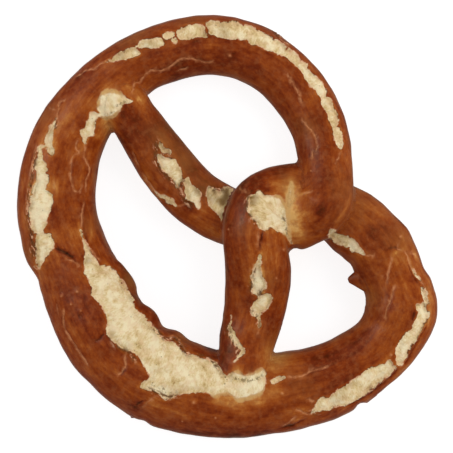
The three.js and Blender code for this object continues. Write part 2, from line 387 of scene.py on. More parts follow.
def from_root(points, x, y, z, turn):
    """Where points lie from a place: forward in the turn's direction, across it and up."""
    c, s = np.cos(radians(turn)), np.sin(radians(turn))
    away = points - (x, y, z)
    return c * away[:, 0] + s * away[:, 1], c * away[:, 1] - s * away[:, 0], away[:, 2]


def outside_lump(points, x, y, z, length, depth, tall, turn):
    """How far points lie outside one lump, about."""
    forward, across, up = from_root(points, x, y, z, turn)
    share = np.sqrt((forward * 2 / length) ** 2 + (across / depth) ** 2 + (up * 2 / tall) ** 2)
    return np.sqrt(forward**2 + across**2 + up**2) * (1 - 1 / share.clip(NEAREST_SHARE))


def outside_flake(points, x, y, z, reach, width, thickness, turn):
    """How far points lie outside one flake, about."""
    forward, across, up = from_root(points, x, y, z, turn)
    behind = np.minimum(forward, 0) * 2 / width
    share = np.sqrt((across * 2 / width) ** 2 + (up * 2 / thickness) ** 2 + behind**2)
    return (share + forward.clip(0) / reach - 1) * min(width, thickness) / 2


def outside_dough(points, feet):
    """How far points lie outside the whole risen rope."""
    each = [outside_by(points, place, *ends) for place, ends in zip(feet, lengths)]
    depth = JOIN_DEPTH + sum(hill(points, *row) for row in WELDS)
    lowest = np.min(each, axis=0)
    for i, j in ((0, 1), (0, 2), (1, 2)):
        apart = smooth_step(abs(along_rope[feet[i]] - along_rope[feet[j]]), *APART)
        lowest = np.minimum(lowest, run_together(each[i], each[j], depth * apart))
    for row in LUMPS:
        lowest = run_together(lowest, outside_lump(points, *row), LUMP_JOIN_DEPTH)
    for row in FLAKES:
        lowest = run_together(lowest, outside_flake(points, *row), FLAKE_JOIN_DEPTH)
    return lowest


def slope_of(points, feet):
    """The dough's outward direction at points and how fast it falls away, from small steps each way."""
    slope = np.empty_like(points)
    for axis in range(3):
        shift = np.zeros(3)
        shift[axis] = SLOPE_STEP
        rise = outside_dough(points + shift, feet) - outside_dough(points - shift, feet)
        slope[:, axis] = rise / (2 * SLOPE_STEP)
    steepness = np.linalg.norm(slope, axis=1)
    return slope / steepness[:, None].clip(NEAR_ZERO), steepness.clip(*STEEPNESS_BOUNDS)


def drawn_on_to_dough(points, rounds=3):
    """Points moved on to the risen rope's surface, and its outward directions."""
    feet = [nearest_places(points, *ends) for ends in lengths]
    start = points.copy()
    for _ in range(rounds):
        outward, steepness = slope_of(points, feet)
        points = points - outward * (outside_dough(points, feet) / steepness)[:, None]
        moved = points - start
        far = np.linalg.norm(moved, axis=1, keepdims=True)
        points = start + moved * np.minimum(1, FURTHEST_PULL / far.clip(NEAR_ZERO))
    return points, slope_of(points, feet)[0], feet


flakes_and_lumps = [flake(*row) for row in FLAKES] + [lump(*row) for row in LUMPS]
pretzel = one_skin("baked_pretzel", rope_tubes() + flakes_and_lumps)


# ---- Burst splits --------------------------------------------------------------------------
# Where the crust had set before the dough stopped rising, it has torn along the rope. The crumb
# shows in the tears, pale and rough, and the crust's edges stand a little proud of it.

# Outlines of the tears seen from above, in millimetres.
SPLITS = {
    "belly": [
        (-17, -49.4), (-13, -49.3), (-10, -48.8), (-7, -48.1), (-4, -47.4), (-1.5, -46.8), (-1, -45),
        (0, -43.5), (2, -41.8), (6, -40.8), (9, -39.5), (12, -39), (14.5, -38.7), (17, -38.9), (19, -38.6),
        (20.6, -37.6), (22, -36.4), (25, -35.5), (28, -34), (31, -33), (33, -32.3), (34.5, -30.5),
        (35, -29), (36.5, -28.2), (39, -27.2), (40.5, -26.5), (41.5, -24.8), (42.5, -23), (44, -21),
        (45, -19.3), (46.5, -17), (48.5, -15.8), (51, -15), (53, -14.3), (53.8, -13), (52.8, -11.5),
        (53, -9.5), (54.5, -7.8), (55.8, -6.5), (55.8, -4), (55.2, -1.5), (55, 0), (56, 1), (57.3, 1.2),
        (59, 0), (61, -0.3), (63, -1.5), (64.3, -3), (64.6, -6), (64.6, -9.5), (63.5, -12.5), (61.5, -14),
        (60.2, -15.5), (59.8, -18), (60, -20.5), (58.5, -22), (57, -23.5), (56.2, -26), (55.5, -29),
        (54.8, -32), (55, -34.5), (55.2, -37), (54.8, -39), (53, -40), (51, -41), (50, -43), (49, -44.8),
        (47.5, -46.3), (46.3, -45.5), (45.8, -43.5), (45.2, -41.5), (43.5, -41.8), (41.5, -42.3), (38, -43),
        (35, -44), (33.3, -45.5), (33, -47), (31.5, -48), (30.5, -49), (29, -50), (27.5, -51.3),
        (25, -51.6), (23.5, -52), (22, -51.5), (20.5, -50.8), (19, -50), (16, -50.2), (13, -51),
        (10.5, -52.2), (8, -52.8), (5, -52.2), (3, -52.5), (1, -52.6), (0, -53.3), (-2, -52.8), (-5, -51.8),
        (-8, -50.8), (-11, -50.2), (-14, -49.8),
    ],
    "twist": [
        (-6, 25.5), (-5, 27), (-2, 28), (2, 28), (5, 27.3), (8, 26.8), (10, 26.4), (12, 26), (13, 25.7),
        (11, 25), (8.5, 23.5), (7, 22), (5.5, 20.8), (4.8, 19.5), (5, 18), (3.8, 16), (2.3, 15.5),
        (0.5, 15), (-1, 14.3), (-3, 13.8), (-5.3, 13.8), (-6, 14.6), (-7.5, 15.2), (-8.6, 15.2),
        (-8.9, 16.5), (-8.6, 18), (-9.5, 19.5), (-9.4, 20.5), (-8, 21), (-7, 22.5), (-6.5, 24),
    ],
    "left loop, top": [
        (-14.5, 54.5), (-17, 55.9), (-20, 56.7), (-23, 56.9), (-23.9, 55.7), (-25, 56.6), (-30, 57.2),
        (-35, 56.9), (-36.5, 56), (-38, 56.4), (-40, 56.2), (-43, 55), (-47, 52.9), (-50, 52), (-53, 50.3),
        (-55, 49.7), (-57, 48), (-59, 46.5), (-61.5, 45), (-63, 43.3), (-65, 41.6), (-67, 40), (-69, 38),
        (-70.5, 36.7), (-72, 35.2), (-71.8, 33.5), (-73.8, 31.8), (-74.5, 30), (-75.4, 27), (-76.2, 25),
        (-77, 22), (-76.6, 20.7), (-75, 20.9), (-73.2, 20.6), (-72.5, 21.2), (-71.5, 22.5), (-70.3, 23.8),
        (-69.3, 25), (-68.5, 27), (-67.8, 29), (-68, 30.2), (-66.5, 31.2), (-66.2, 33.3), (-64, 34.5),
        (-63, 37), (-61.5, 38.5), (-60, 39.6), (-59, 41.5), (-56.5, 44), (-56, 45.3), (-54, 46.2),
        (-52, 47.5), (-50, 49), (-48, 49.5), (-45, 50), (-42, 51.5), (-40, 52.7), (-38, 53), (-36.5, 53.7),
        (-34, 53.3), (-30, 54), (-26, 54), (-23.5, 54.4), (-22, 53.6), (-18, 53.9), (-16, 54.3),
    ],
    "left loop, second": [
        (-75.5, 19.4), (-73, 19.4), (-71.9, 19.3), (-72.5, 17), (-73.5, 15), (-73.2, 13), (-73.8, 11),
        (-74.3, 9.2), (-75.6, 8.6), (-77.3, 9), (-78, 11), (-78.3, 13), (-78, 15), (-77.8, 17),
        (-76.8, 18.8),
    ],
    "left loop, third": [
        (-77.3, 8), (-76.3, 7.6), (-76, 5.5), (-76.2, 4), (-78.3, 3.6), (-78.4, 5), (-77.9, 6.8),
    ],
    "left loop, chip": [(-75.4, 8), (-74, 8.5), (-73.6, 7.2), (-74.4, 5.9), (-75.6, 6.2)],
    "left loop, fourth": [
        (-76.4, 3), (-74.4, 3.2), (-74, 1), (-74.4, -2), (-75.2, -4), (-75.8, -6.6), (-76.9, -6.6),
        (-78, -5), (-78.3, -3.6), (-77.9, -1.5), (-77.3, 1),
    ],
    "left loop, last": [
        (-76.7, -7.4), (-75.9, -7.7), (-73.9, -7), (-73.6, -10), (-73.6, -13), (-73.9, -16), (-74.3, -19),
        (-74.6, -20.6), (-75, -19), (-76.2, -16), (-76.8, -13), (-76.6, -10),
    ],
    "left end": [
        (-57.3, -15.3), (-59, -17), (-61.5, -18.5), (-63.3, -20.5), (-64.2, -23), (-63.8, -25.5),
        (-62.5, -27.3), (-60.5, -28.4), (-58.5, -29.2), (-57, -28.9), (-57.5, -30), (-58.2, -32.5),
        (-56.5, -33), (-55, -34.5), (-53.5, -36), (-53, -37.5), (-51.5, -38.2), (-50, -37.8), (-48, -38.1),
        (-47.3, -37.4), (-49, -36.5), (-49.8, -35), (-49.5, -33.5), (-51, -33), (-52.5, -32),
        (-53.5, -31.5), (-55, -30.3), (-55.5, -29), (-54.5, -28), (-54, -26), (-53.9, -24), (-54.8, -22),
        (-56, -20.5), (-57.2, -18.8), (-56.8, -17),
    ],
    "lower left, upper": [
        (-60.3, -45), (-58, -46), (-56, -47.6), (-53, -48.8), (-51, -49.6), (-48.5, -49.8), (-47.3, -51),
        (-49, -52), (-50.8, -52.2), (-50.9, -53.9), (-51.7, -54), (-52.2, -52.6), (-54, -51.3), (-56, -50),
        (-58, -48), (-60, -46),
    ],
    "lower left, main": [
        (-51.6, -54.4), (-50, -54.2), (-48, -54.5), (-46.5, -54.8), (-45, -54.2), (-42.5, -54),
        (-41.5, -55), (-40, -54.8), (-38, -55.5), (-37, -56.6), (-35.5, -57.3), (-34, -56.3), (-33, -55.7),
        (-31, -56), (-29, -56.9), (-27, -58.5), (-25, -60.3), (-22.5, -61.5), (-21, -63.2), (-19.3, -63.4),
        (-19.5, -61.5), (-17.5, -60.7), (-15, -60.9), (-13, -62), (-12.2, -63.5), (-10.5, -65.5), (-9, -67),
        (-7.5, -68.8), (-9, -69.4), (-11, -68.7), (-13, -68.3), (-15, -67.6), (-17, -67.8), (-19, -66.5),
        (-20.5, -66), (-22, -66.8), (-25, -66.5), (-28, -66.3), (-30, -65.7), (-32, -64.8), (-34, -63.8),
        (-36, -62.5), (-38, -61), (-39.5, -59.8), (-41, -59.3), (-42.5, -58.3), (-44.5, -58.8),
        (-46.5, -57.5), (-48.5, -56.3), (-50, -55.6), (-51.5, -55.2),
    ],
    "right loop, upper": [
        (50, 66.5), (51.5, 67), (53, 66.6), (54.5, 67.2), (56, 66.5), (57, 65.5), (58, 64.5), (59, 63),
        (61, 61.5), (63, 59.5), (65, 57), (66.5, 55), (68, 54), (69, 52.3), (70, 51.5), (70, 50),
        (68.5, 49.7), (66.5, 50.3), (64.5, 51.2), (62.8, 52), (61.5, 53.3), (60.3, 55), (59.2, 56.8),
        (58.5, 58.8), (57.5, 60), (56, 61), (54.5, 62.5), (53, 63.5), (51.5, 63.3), (50, 63.8),
        (50.5, 65.3),
    ],
    "right loop, outer": [
        (66.8, 48), (68.5, 48.3), (69.5, 48), (70.3, 49), (71.3, 47), (72.6, 45.5), (73, 43.5), (74, 41.5),
        (75, 38.5), (76.3, 36), (77.2, 33), (77.8, 30), (78.1, 26), (77.8, 22), (78, 19), (77.3, 16),
        (77.3, 13), (76, 14.5), (75, 15.5), (73.8, 16.2), (72.8, 17.5), (72.5, 19), (73.7, 20.5),
        (73, 22.5), (72, 25), (71.3, 28), (70.8, 30.5), (70, 32.5), (69.3, 34.5), (68.3, 37), (67.8, 39.5),
        (68, 41.5), (67.3, 43.5), (67.8, 45.5), (67, 47),
    ],
    "right loop, inner": [
        (12.3, 41.5), (14, 40.3), (15.2, 40.2), (16.5, 41.5), (18, 42), (19.2, 43.2), (20, 44.5), (22, 46),
        (23.5, 46.8), (24, 48.3), (25.5, 49.5), (26, 51), (24.5, 50.8), (23, 50.3), (21, 50), (19, 49.2),
        (17.8, 48), (17, 46.5), (15.5, 44.5), (14.5, 43), (13, 42.8),
    ],
    "right arm": [
        (13.3, 13.2), (16, 12.6), (18, 11.4), (20, 11.3), (23, 11.5), (26, 11.1), (27, 9.5), (28.3, 8.8),
        (28.5, 11), (30, 12.1), (31.5, 12.2), (32.5, 11), (34, 9.5), (34.5, 7.7), (35.8, 6.2), (37.5, 5.5),
        (39.5, 4.5), (40, 3.6), (38.5, 3.9), (36.5, 4.2), (34.5, 3), (33.5, 2.7), (32.5, 3.3), (31, 4),
        (30, 5.5), (29.5, 7), (28, 7), (27, 6.3), (26, 5.6), (24.5, 6), (22.5, 6.5), (20, 7.5), (18, 9),
        (16.5, 10.2), (15, 11.6), (14, 12.3),
    ],
    "left arm, first": [
        (-39.5, -10), (-38, -9.8), (-36, -9), (-35, -7.8), (-33.5, -7.8), (-34.5, -8.8), (-35, -10),
        (-36.5, -10.8), (-38.5, -10.9),
    ],
    "left arm, second": [
        (-33, -9), (-32, -7.8), (-30, -6.6), (-28.5, -6.5), (-27, -5.8), (-25, -5.8), (-23.5, -6.3),
        (-22.5, -6), (-22, -7.5), (-20.5, -8.6), (-20.8, -9.3), (-22.5, -9), (-24, -9.8), (-26, -11),
        (-28, -12), (-30, -12.8), (-32, -13.2), (-34, -13), (-35.5, -12.3), (-34.2, -11.3), (-33.2, -10.5),
    ],
    "left arm, third": [
        (-23, -4), (-21, -4), (-20, -3.3), (-18.5, -2.8), (-17, -1.5), (-15.3, -1.5), (-14, -2.3),
        (-12.5, -3.2), (-10.3, -3.8), (-11.5, -4.4), (-13, -5), (-14, -6), (-15, -7.2), (-17, -6.9),
        (-18.5, -7), (-20, -6.5), (-21.5, -6.8), (-22.5, -5.8),
    ],
}
# This one is on the left arm only, half hidden under the right arm.
UNDER_CROSSING = [
    (-14.8, 9.5), (-13, 11), (-8, 9), (-3, 5.5), (-2.5, 3), (-5.5, 2.6), (-7, 1.8), (-8.5, 1), (-11, 0.5),
    (-13, 0.3), (-15, 0.6), (-16.5, 1.2), (-17, 2.4), (-15.8, 3.8), (-14.5, 5), (-15, 6.5), (-15.3, 8),
]
# Narrow tears: x, y, half width along each.
NARROW_SPLITS = [
    [(-14, -11.6, 0.4), (-16.5, -13.2, 0.9), (-18.8, -15.3, 0.7), (-20.5, -16.8, 0.3),
     (-22.3, -17.7, 0.15)],
    [(-9, 33, 0.2), (-6.5, 31.8, 0.6), (-4.2, 30.8, 1.0), (-2.3, 29.7, 1.1), (-0.8, 28.6, 0.8)],
    [(61, 1.8, 0.3), (61.3, 3.5, 1), (61, 5.5, 0.8), (60.8, 7.5, 0.3)],
    [(32, -5, 0.2), (34.3, -5.7, 0.3), (36.5, -7, 0.7), (39, -6.6, 1.1), (42, -6.3, 1), (44.5, -5.2, 0.9),
     (46.5, -4.9, 0.8), (48, -7, 0.5), (49.6, -9.4, 0.2)],
    [(37, 66.9, 0.05), (39.3, 67.4, 0.2), (42, 68.4, 0.05)],
    [(44.6, 67.9, 0.3), (46.5, 68, 0.9), (49, 67.6, 0.8), (51, 67.7, 0.4)],
]
# The outlines are drawn as an eye at this place sees them, on a sheet as high as the rope's widest part.
DRAWN_FROM = (-0.73, 4.06, 732.9)
DRAWN_AT = 11.0
SPLIT_STEPS = 3
NARROWEST = 0.15
# Raggedness of the torn edges: size, how far it goes in and out, and where its pattern starts.
RAGGED = [(3.0, 0.45, 7.3), (1.1, 0.3, 8.3)]
# Depths are reckoned up to this far from an outline, and made ragged only this near to it.
FURTHEST = 8.0
RAGGED_WITHIN = 5
LIP_RISE = 0.4
LIP_REACH = 1.5
# The step from crust down to crumb, in millimetres, where it starts and ends inside the edge, and
# how much later it ends where it is least sharp.
CRUST_STEP = 0.95
STEP_STARTS = -0.15
STEP_ENDS = 0.4
STEP_SLACK = 0.8
# How sharp that step and the lip are: usually, how this varies along them and within what bounds,
# and what the fading into gold crust takes away from it.
USUAL_SHARPNESS = 0.75
SHARPNESS_VARIES = 1.1
SHARPNESS_LENGTH = 7.0
SHARPNESS_PATTERN = 6.6
SHARPNESS_BOUNDS = (0.2, 1.2)
FADE_SOFTENS = 0.85
CRUMB_EDGE = 0.5
CRUMB_DOME = 0.95
CRUMB_REACH = 2.4
# Unevenness of the crumb: size, rise everywhere, rise at the torn edges.
MOUNDS = [(2.6, 0.30, 0.10), (1.2, 0.10, 0.30)]
CRAG_REACH = 1.6


def ribbon(stations):
    """The outline of a narrow tear from stations along its middle."""
    line = smooth_line(stations, SPLIT_STEPS)
    middle, half_widths = line[:, :2], line[:, 2:].clip(NARROWEST)
    outward = directions(middle)[1] * half_widths
    return np.vstack([middle + outward, (middle - outward)[::-1]])


def outline(corners):
    return smooth_line(corners + corners[:1], SPLIT_STEPS)[:-1]


def close_by(points, line, margin):
    """Which points lie within a margin of a line's box, seen from above."""
    low, high = line.min(0) - margin, line.max(0) + margin
    return np.flatnonzero(((points[:, :2] > low) & (points[:, :2] < high)).all(1))


def from_edge(xy, start, end):
    """How far places lie from a straight edge, and what share of it their nearest point has passed."""
    edge = end - start
    share = ((xy - start) @ edge / max(edge @ edge, NEAR_ZERO)).clip(0, 1)
    return np.linalg.norm(xy - start - share[:, None] * edge, axis=1), share


def inside_by(edge_line, points):
    """How far points lie inside an outline seen from above, below 0 outside it."""
    depth = np.full(len(points), -FURTHEST)
    near = close_by(points, edge_line, FURTHEST)
    xy = points[near, :2]
    nearest = np.full(len(near), FURTHEST)
    inside = np.zeros(len(near), bool)
    for a, b in zip(edge_line, np.roll(edge_line, -1, 0)):
        nearest = np.minimum(nearest, from_edge(xy, a, b)[0])
        spans = (a[1] > xy[:, 1]) != (b[1] > xy[:, 1])
        crossing = a[0] + (xy[:, 1] - a[1]) * (b[0] - a[0]) / ((b[1] - a[1]) or NEAR_ZERO)
        inside ^= spans & (xy[:, 0] < crossing)
    depth[near] = np.where(inside, nearest, -nearest)
    return depth


def drawn_places(points):
    """Where points lie on the sheet that the outlines are drawn on."""
    x, y, eye_height = DRAWN_FROM
    nearness = (eye_height - DRAWN_AT) / (eye_height - points[:, 2:])
    return np.hstack([(x, y) + (points[:, :2] - (x, y)) * nearness, points[:, 2:]])


def ripple(points, size, seed):
    """Soft unevenness of about the given size, between -1 and 1, in a pattern that starts at its seed."""
    places = points.tolist()
    return np.array([noise.noise((x / size + seed, y / size - seed, z / size)) for x, y, z in places])


split_outlines = [outline(corners) for corners in SPLITS.values()] + [ribbon(row) for row in NARROW_SPLITS]


def tear_depth(points, on_left_arm):
    """How far drawn points lie inside any split, with its ragged edge."""
    depth = np.max([inside_by(line, points) for line in split_outlines], axis=0)
    hidden = np.where(on_left_arm, inside_by(outline(UNDER_CROSSING), points), -FURTHEST)
    depth = np.maximum(depth, hidden)
    near = np.flatnonzero(depth > -RAGGED_WITHIN)
    for size, amount, seed in RAGGED:
        depth[near] += amount * ripple(points[near], size, seed)
    return depth


# ---- Cracks, creases and blisters ----------------------------------------------------------
# The thin crust has cracked and folded as the rope bent and rose. Young cracks are pale or
# golden with painted shade beside them, folds are grooves darkened with painted shade, and a few
# steam blisters stand up as specks.

PALE_CRACKS = [
    [(-62.3, 19), (-62.8, 16), (-65.5, 12), (-67, 7), (-65.3, 2), (-65.2, -1.5), (-66.5, -5), (-64.5, -9),
     (-63.5, -10.5), (-63.8, -12.5), (-62, -13.5), (-60.5, -14.8)],
    [(-63.5, 9), (-62.8, 7.5), (-63.5, 5)],
    [(-74.5, -20), (-74.7, -22.5), (-73.7, -26), (-74, -28.5), (-73, -33)],
    [(-66, -39), (-65.5, -42), (-63, -43.5), (-60.3, -45)],
    [(-65, -46.5), (-63.5, -44.5)],
    [(-47.5, -37.7), (-45, -38.5), (-43, -39.5), (-40, -39), (-37, -39), (-34, -41.5), (-30, -43)],
    [(-50, -39.5), (-47.5, -41.5), (-45, -41), (-44.5, -43.5), (-42, -45), (-39, -46.2), (-35.5, -47),
     (-32, -47.2), (-30.8, -45.5), (-32.5, -43.5)],
    [(-26, -45), (-23, -47), (-20, -48), (-17, -49.3)],
    [(-38, -53.3), (-36, -54), (-34.5, -54.4)],
    [(-9.6, -59.2), (-8, -57.7), (-6.2, -56), (-4.5, -54.5), (-3.3, -53.6)],
    [(-9, -48.4), (-6, -47.4), (-3, -46.1)],
    [(-50, 43.5), (-45, 45.3), (-40, 46), (-36, 46.3)],
    [(-31, 44.2), (-28, 45), (-25, 46.8), (-20, 46.5), (-17, 45.5)],
    [(-14.5, 54.6), (-12.5, 53), (-11, 51.5), (-10, 50.2)],
    [(-18.5, 44), (-15, 43.4)],
    [(-3.2, 39.3), (-3.4, 37), (-3.1, 34.9)],
    [(8.2, 67.5), (11, 67.4)],
    [(29, 60), (30.5, 60), (32, 59.5), (35, 57.5), (38, 55.9), (39, 55.2)],
    [(40.5, 59), (41.5, 57.5), (44, 56), (46, 54.5), (48, 52.5), (52, 51)],
    [(36, 54), (36.5, 55.5)],
    [(26, 51), (26.7, 52.8), (27.5, 54.8)],
    [(25, 65), (27.5, 63.9), (29, 66)],
    [(30.5, 67), (31.5, 69), (32.8, 69.6)],
    [(29, 65.4), (30.5, 66.2), (33, 66.5), (36, 66.7), (39.5, 67.5), (43, 68.6), (45, 69)],
    [(61, 8), (61.8, 10), (62.5, 14), (61.8, 17), (62, 21), (62.3, 25)],
    [(73.8, 16), (72.5, 14), (71, 12.5)],
    [(77.3, 13), (77, 11), (75, 9), (73.5, 7)],
    [(33, -47.2), (35, -48.3), (38, -49), (39.5, -50.5), (40.5, -53.5)],
    [(33.5, -46.3), (36, -45.5), (38.5, -45)],
    [(52.3, -41), (53.3, -44), (54.6, -47), (55.5, -48.6)],
    [(10, -64.8), (16, -66.6), (20, -66.2), (25, -64.8), (30, -63.7), (34, -62.6)],
    [(8, -67.2), (11, -67.4)],
    [(-39, -21.3), (-37, -21), (-33, -20.8)],
    [(4, 15.2), (7, 14.4), (10, 13.2)],
    [(37.5, 5.5), (39.5, 4), (42, 2.5)],
    [(-10, 15.5), (-12, 14.3), (-13.5, 12.8)],
    [(-14.4, -7.6), (-13.7, -9), (-13.9, -11)],
    [(-21, -17), (-23.5, -18.2), (-26, -19.2), (-30, -20.3)],
    [(76.5, 6.8), (78, 4), (78.4, 1)],
    [(-52.4, -55.8), (-50, -57), (-46, -59), (-43, -60.8), (-40, -61.7)],
    [(-36, -64.3), (-33, -65.6), (-29, -67)],
    [(32.6, -30.6), (33, -28.4), (34.4, -26.8), (37, -26), (40.4, -25.4)],
]
GOLD_STREAKS = [
    [(-3.2, 39.6), (-3.4, 37), (-3.1, 34.6)],
    [(3.5, 52), (6.2, 50), (9, 46.5), (11.3, 43.3)],
    [(-22, -44), (-18, -45), (-13, -46.5), (-11, -47.3)],
    [(-21, -49), (-15, -50.5)],
    [(-41, -9.5), (-38, -8.6)],
    [(28.6, 66.5), (28.4, 63.5), (29.4, 61)],
    [(30.5, 69.5), (33, 69.2)],
    [(-58.5, -14), (-56, -12)],
]
# Creases: grooves in the crust, darkened with painted shade.
SHADED_CREASES = [
    [(-13.3, -61.2), (-11.9, -59.6), (-10.2, -57.7), (-8.7, -56.3), (-6.4, -54.9)],
    [(-13, -60.4), (-11.5, -58.8), (-9.9, -57.1), (-8.6, -55.9)],
    [(71, 49.6), (72.9, 46.9), (74.1, 44), (75.6, 40), (77, 36.5), (78.2, 32), (78.6, 28)],
    [(58.8, 65.1), (61.7, 62.2), (65.7, 57.7), (68.8, 54.5), (70.7, 52)],
    [(34, 65.8), (37, 66), (40, 66.5), (43, 67.5)],
    [(-17, -48.6), (-13, -48.4), (-11, -48)],
    [(23.5, -53), (25, -55), (25.8, -58)],
    [(53.3, -45.5), (53, -48), (54, -50.5)],
    [(39, -49.3), (41, -52.3)],
    [(52, 62.6), (54, 61.3), (56, 60.2)],
    [(26.5, 60), (26.8, 62.5), (28.2, 64.3)],
    [(78.8, 10), (79.2, 5), (78.9, 0)],
    [(0, 15.6), (3, 16.6), (5.5, 16.6), (8, 15.3), (10.5, 13.9), (12.5, 13.3)],
    [(-33.3, -65.3), (-28, -67), (-22, -67.7), (-17, -68.6)],
    [(-40, -60.9), (-37, -63.3)],
    [(44, 68.4), (44.4, 67.2)],
    [(-34.6, -9.6), (-34.2, -8.9)],
    [(-22.3, -7), (-20.2, -7.8)],
    [(-12, -5.2), (-14.5, -7.8)],
    [(34.1, -29.3), (35, -27.9)],
    [(36, -27.2), (37.8, -26.7)],
]
# Seams in the crumb where the crust's edge overhangs it: lines of dark pits, painted shade.
CRUMB_SHADE_SEAMS = [
    [(57.5, 0), (58.3, -3), (57.6, -7), (55.8, -10), (55.3, -13), (52.2, -15.6)],
    [(53.6, -33.5), (52, -37.5), (48.8, -40), (47.6, -42.3)],
    [(2, 25.4), (4, 25.8), (6.5, 25.6), (9, 25.1), (12, 25.3), (14, 25.5)],
    [(-11, 33.3), (-8.5, 32.4), (-5.5, 31), (-2.5, 30)],
    [(-58.3, -18.3), (-57.6, -20.7), (-56.3, -22.5), (-55.8, -24.8), (-55, -26.3)],
    [(36.9, -7.3), (39, -7.2), (41.5, -6.9), (44, -6.2)],
    [(-15.5, 6), (-14.2, 7.9), (-11.6, 7.2)],
    [(-15.2, 4.4), (-16.2, 2.8)],
    [(44.8, -18.4), (44.3, -20)],
    [(35, -33), (36.8, -33.6)],
    [(-51.3, -54.4), (-50.3, -55.3)],
]
# Edges of tears that are frayed, with painted shadow in the holes under them and thin pale scales.
FRAYED_EDGES = [
    [(-52, -55.3), (-48, -57.3), (-44, -59.4), (-40, -61.4), (-36, -63.6), (-32, -65.6), (-28, -67),
     (-22, -67.5), (-17, -68.4), (-12, -69.2)],
    [(-60, -44.9), (-56, -47)],
    [(-40, -11), (-34, -13.6), (-30, -13.4), (-24, -10.6), (-20.5, -8.8), (-15, -8), (-12, -5.6)],
    [(-33.5, -8.2), (-35, -10.4)],
    [(-23.5, -5.4), (-20, -8)],
    [(17, 9.8), (20, 8), (24, 6), (27, 5.4)],
    [(26.6, 10), (27.6, 8), (28.4, 9.6)],
    [(32.5, 3.2), (36, 4.3), (39.5, 4)],
    [(27, -34.6), (30, -33.2), (33, -31.6), (33.6, -29.4), (34.4, -27.2), (37, -26.6), (40, -26),
     (42, -24)],
    [(42.6, -22), (43.6, -20), (45, -18.2), (48, -16.4), (51, -15.4)],
    [(28, -51.2), (31, -48.7), (34, -46), (38, -45)],
    [(54.9, -33), (54.4, -37), (51.5, -40.6), (48.6, -44)],
    [(-10, 16), (-8, 15), (-5, 13.8), (-1, 14.2), (3, 15.6)],
    [(35, -7.2), (38, -7.9), (42, -7.3), (45.5, -6.6), (47.4, -8)],
    [(44, 68.6), (46.5, 68.9)],
    [(-66, 44), (-62, 46.3), (-58.5, 48)],
    [(-14.9, 8.6), (-15.2, 6), (-16.5, 3.4), (-16.8, 1.6)],
    [(76.6, 12.6), (78.4, 15)],
]
# Places where the crumb fades into gold crust without an edge: x, y, reach.
FADED_EDGES = [
    (-6, 27, 2), (-2, 28.6, 2.2), (2, 28.4, 2.6), (6, 27.6, 2.6), (9.5, 26.6, 2.6), (-9, 33, 2.4),
    (-5, 32, 2.4), (-3, 30, 2.4), (53.4, -9, 1.8), (54.4, -5, 1.8), (64.6, -3.5, 2.4), (65, -7.5, 2.4),
    (64.2, -11.5, 2.4), (61.4, -16, 2.4), (60.4, -20, 2), (55, -1.5, 2), (-63.8, -25, 1.8),
    (-54.6, -26.5, 2), (-54.6, -23, 1.6), (-62.6, -20, 2.2), (-64.2, -22.5, 1.8), (-60.6, -28, 1.8),
]
# Specks: x, y, radius, rise.
SPECKS = [
    (-62.5, 25.5, 0.7, 0.3), (5.3, -58, 0.8, 0.35), (9.2, -61.6, 0.6, 0.3), (5, -64.1, 0.7, 0.35),
    (59.3, -28.6, 0.9, 0.4), (-11, 41.3, 0.5, 0.2), (14.4, 22, 0.7, 0.3), (24, 16, 0.7, 0.3),
    (12.8, -58.9, 0.5, 0.2), (0.6, 4.6, 0.5, 0.2), (66.6, 4.6, 0.7, 0.4), (23.6, 65.8, 0.7, 0.35),
    (-45.3, -59, 0.6, 0.35), (-39, -62.4, 0.6, 0.3), (-34.2, -64.3, 0.6, 0.3), (-23, -67.6, 0.6, 0.3),
    (-9.9, 19.8, 0.7, 0.3), (65.3, 48.7, 0.7, 0.3), (67.5, -22.5, 0.6, 0.2), (64.8, -35, 0.5, 0.2),
    (-63, 45.6, 0.8, 0.3), (-60.5, 46.8, 0.6, 0.3),
]
# Swells and dents, below 0, of the rope's sides: x, y, reach, rise.
SWELLS = [
    (-16, -71.5, 4, 0.7), (-11, -71.5, 4, 1.0), (-3.5, -72, 2, -0.4), (42, -66, 6, -0.8),
    (61, -49.6, 2.3, -1.0), (57, -54.5, 2, 0.3), (81, -4, 5, -0.5), (80.5, 31.5, 1.8, -1.0),
    (28, 44.5, 2.5, -0.9), (24, 42.5, 2.5, -0.4), (21.5, 68.5, 4, 0.7), (42.4, 71.5, 3, 0.6),
    (27.5, -30.2, 3, -0.7), (4, -36.3, 3, -0.5), (35, -23, 3, -0.5), (-58.3, -9, 3, 0.5),
    (15.6, 26.2, 1.7, -1.0), (-2.2, -40.4, 2.2, 0.4), (2.5, -38.4, 2, -0.3), (12.3, -37, 1.3, -0.4),
]
# How far the lines wander, over what length, and where the two patterns start.
WANDER = 0.35
WANDER_SIZE = 1.6
WANDER_PATTERNS = (21.5, 34.2)
LINE_STEPS = 4
LINE_MARGIN = 4
# The lines are this much weaker at their ends, and grow to full strength over this length.
END_STRENGTH = 0.35
END_TAPER = 1.5
# Faces are made finer in two rounds: how near the torn edges and the lines, and how deep inside tears.
FINER_ROUNDS = [(2.0, 1.3, 0), (0.75, 0.65, FURTHEST)]
# What a hill or a line has fallen to at its reach.
AT_REACH = 0.37
SPECK_MARGIN = 0.7
UPPER_SIDE = 0.05
FINE_FLAKES = 0.9
# From how far below the rope's widest height the tears start to show, and up to where.
BELT_FADE = (-1.0, 1.5)
BARELY = 0.02
CRACK_SIDES = 2.4
CRACKS_INTO_TEARS = 0.3
CRACK_WIDTH = 0.34
CREASE_WIDTH = 0.42
SEAM_WIDTH = 0.5
STREAK_WIDTH = 0.7
CRACK_DEPTH = 0.3
CRACK_LIP = 0.14
CREASE_DEPTH = 0.45
SEAM_DEPTH = 0.06
PITS_REACH = 0.65
FRAY_REACH = 0.85
FRAY_SIZE = 1.1
FRAY_RISE = 0.45
FRAY_PATTERN = 4.4
# Unevenness of the whole rope: rise, size and where its pattern starts.
ROPE_WAVES = [(0.45, 15, 3.1), (0.2, 5.5, 9.4)]


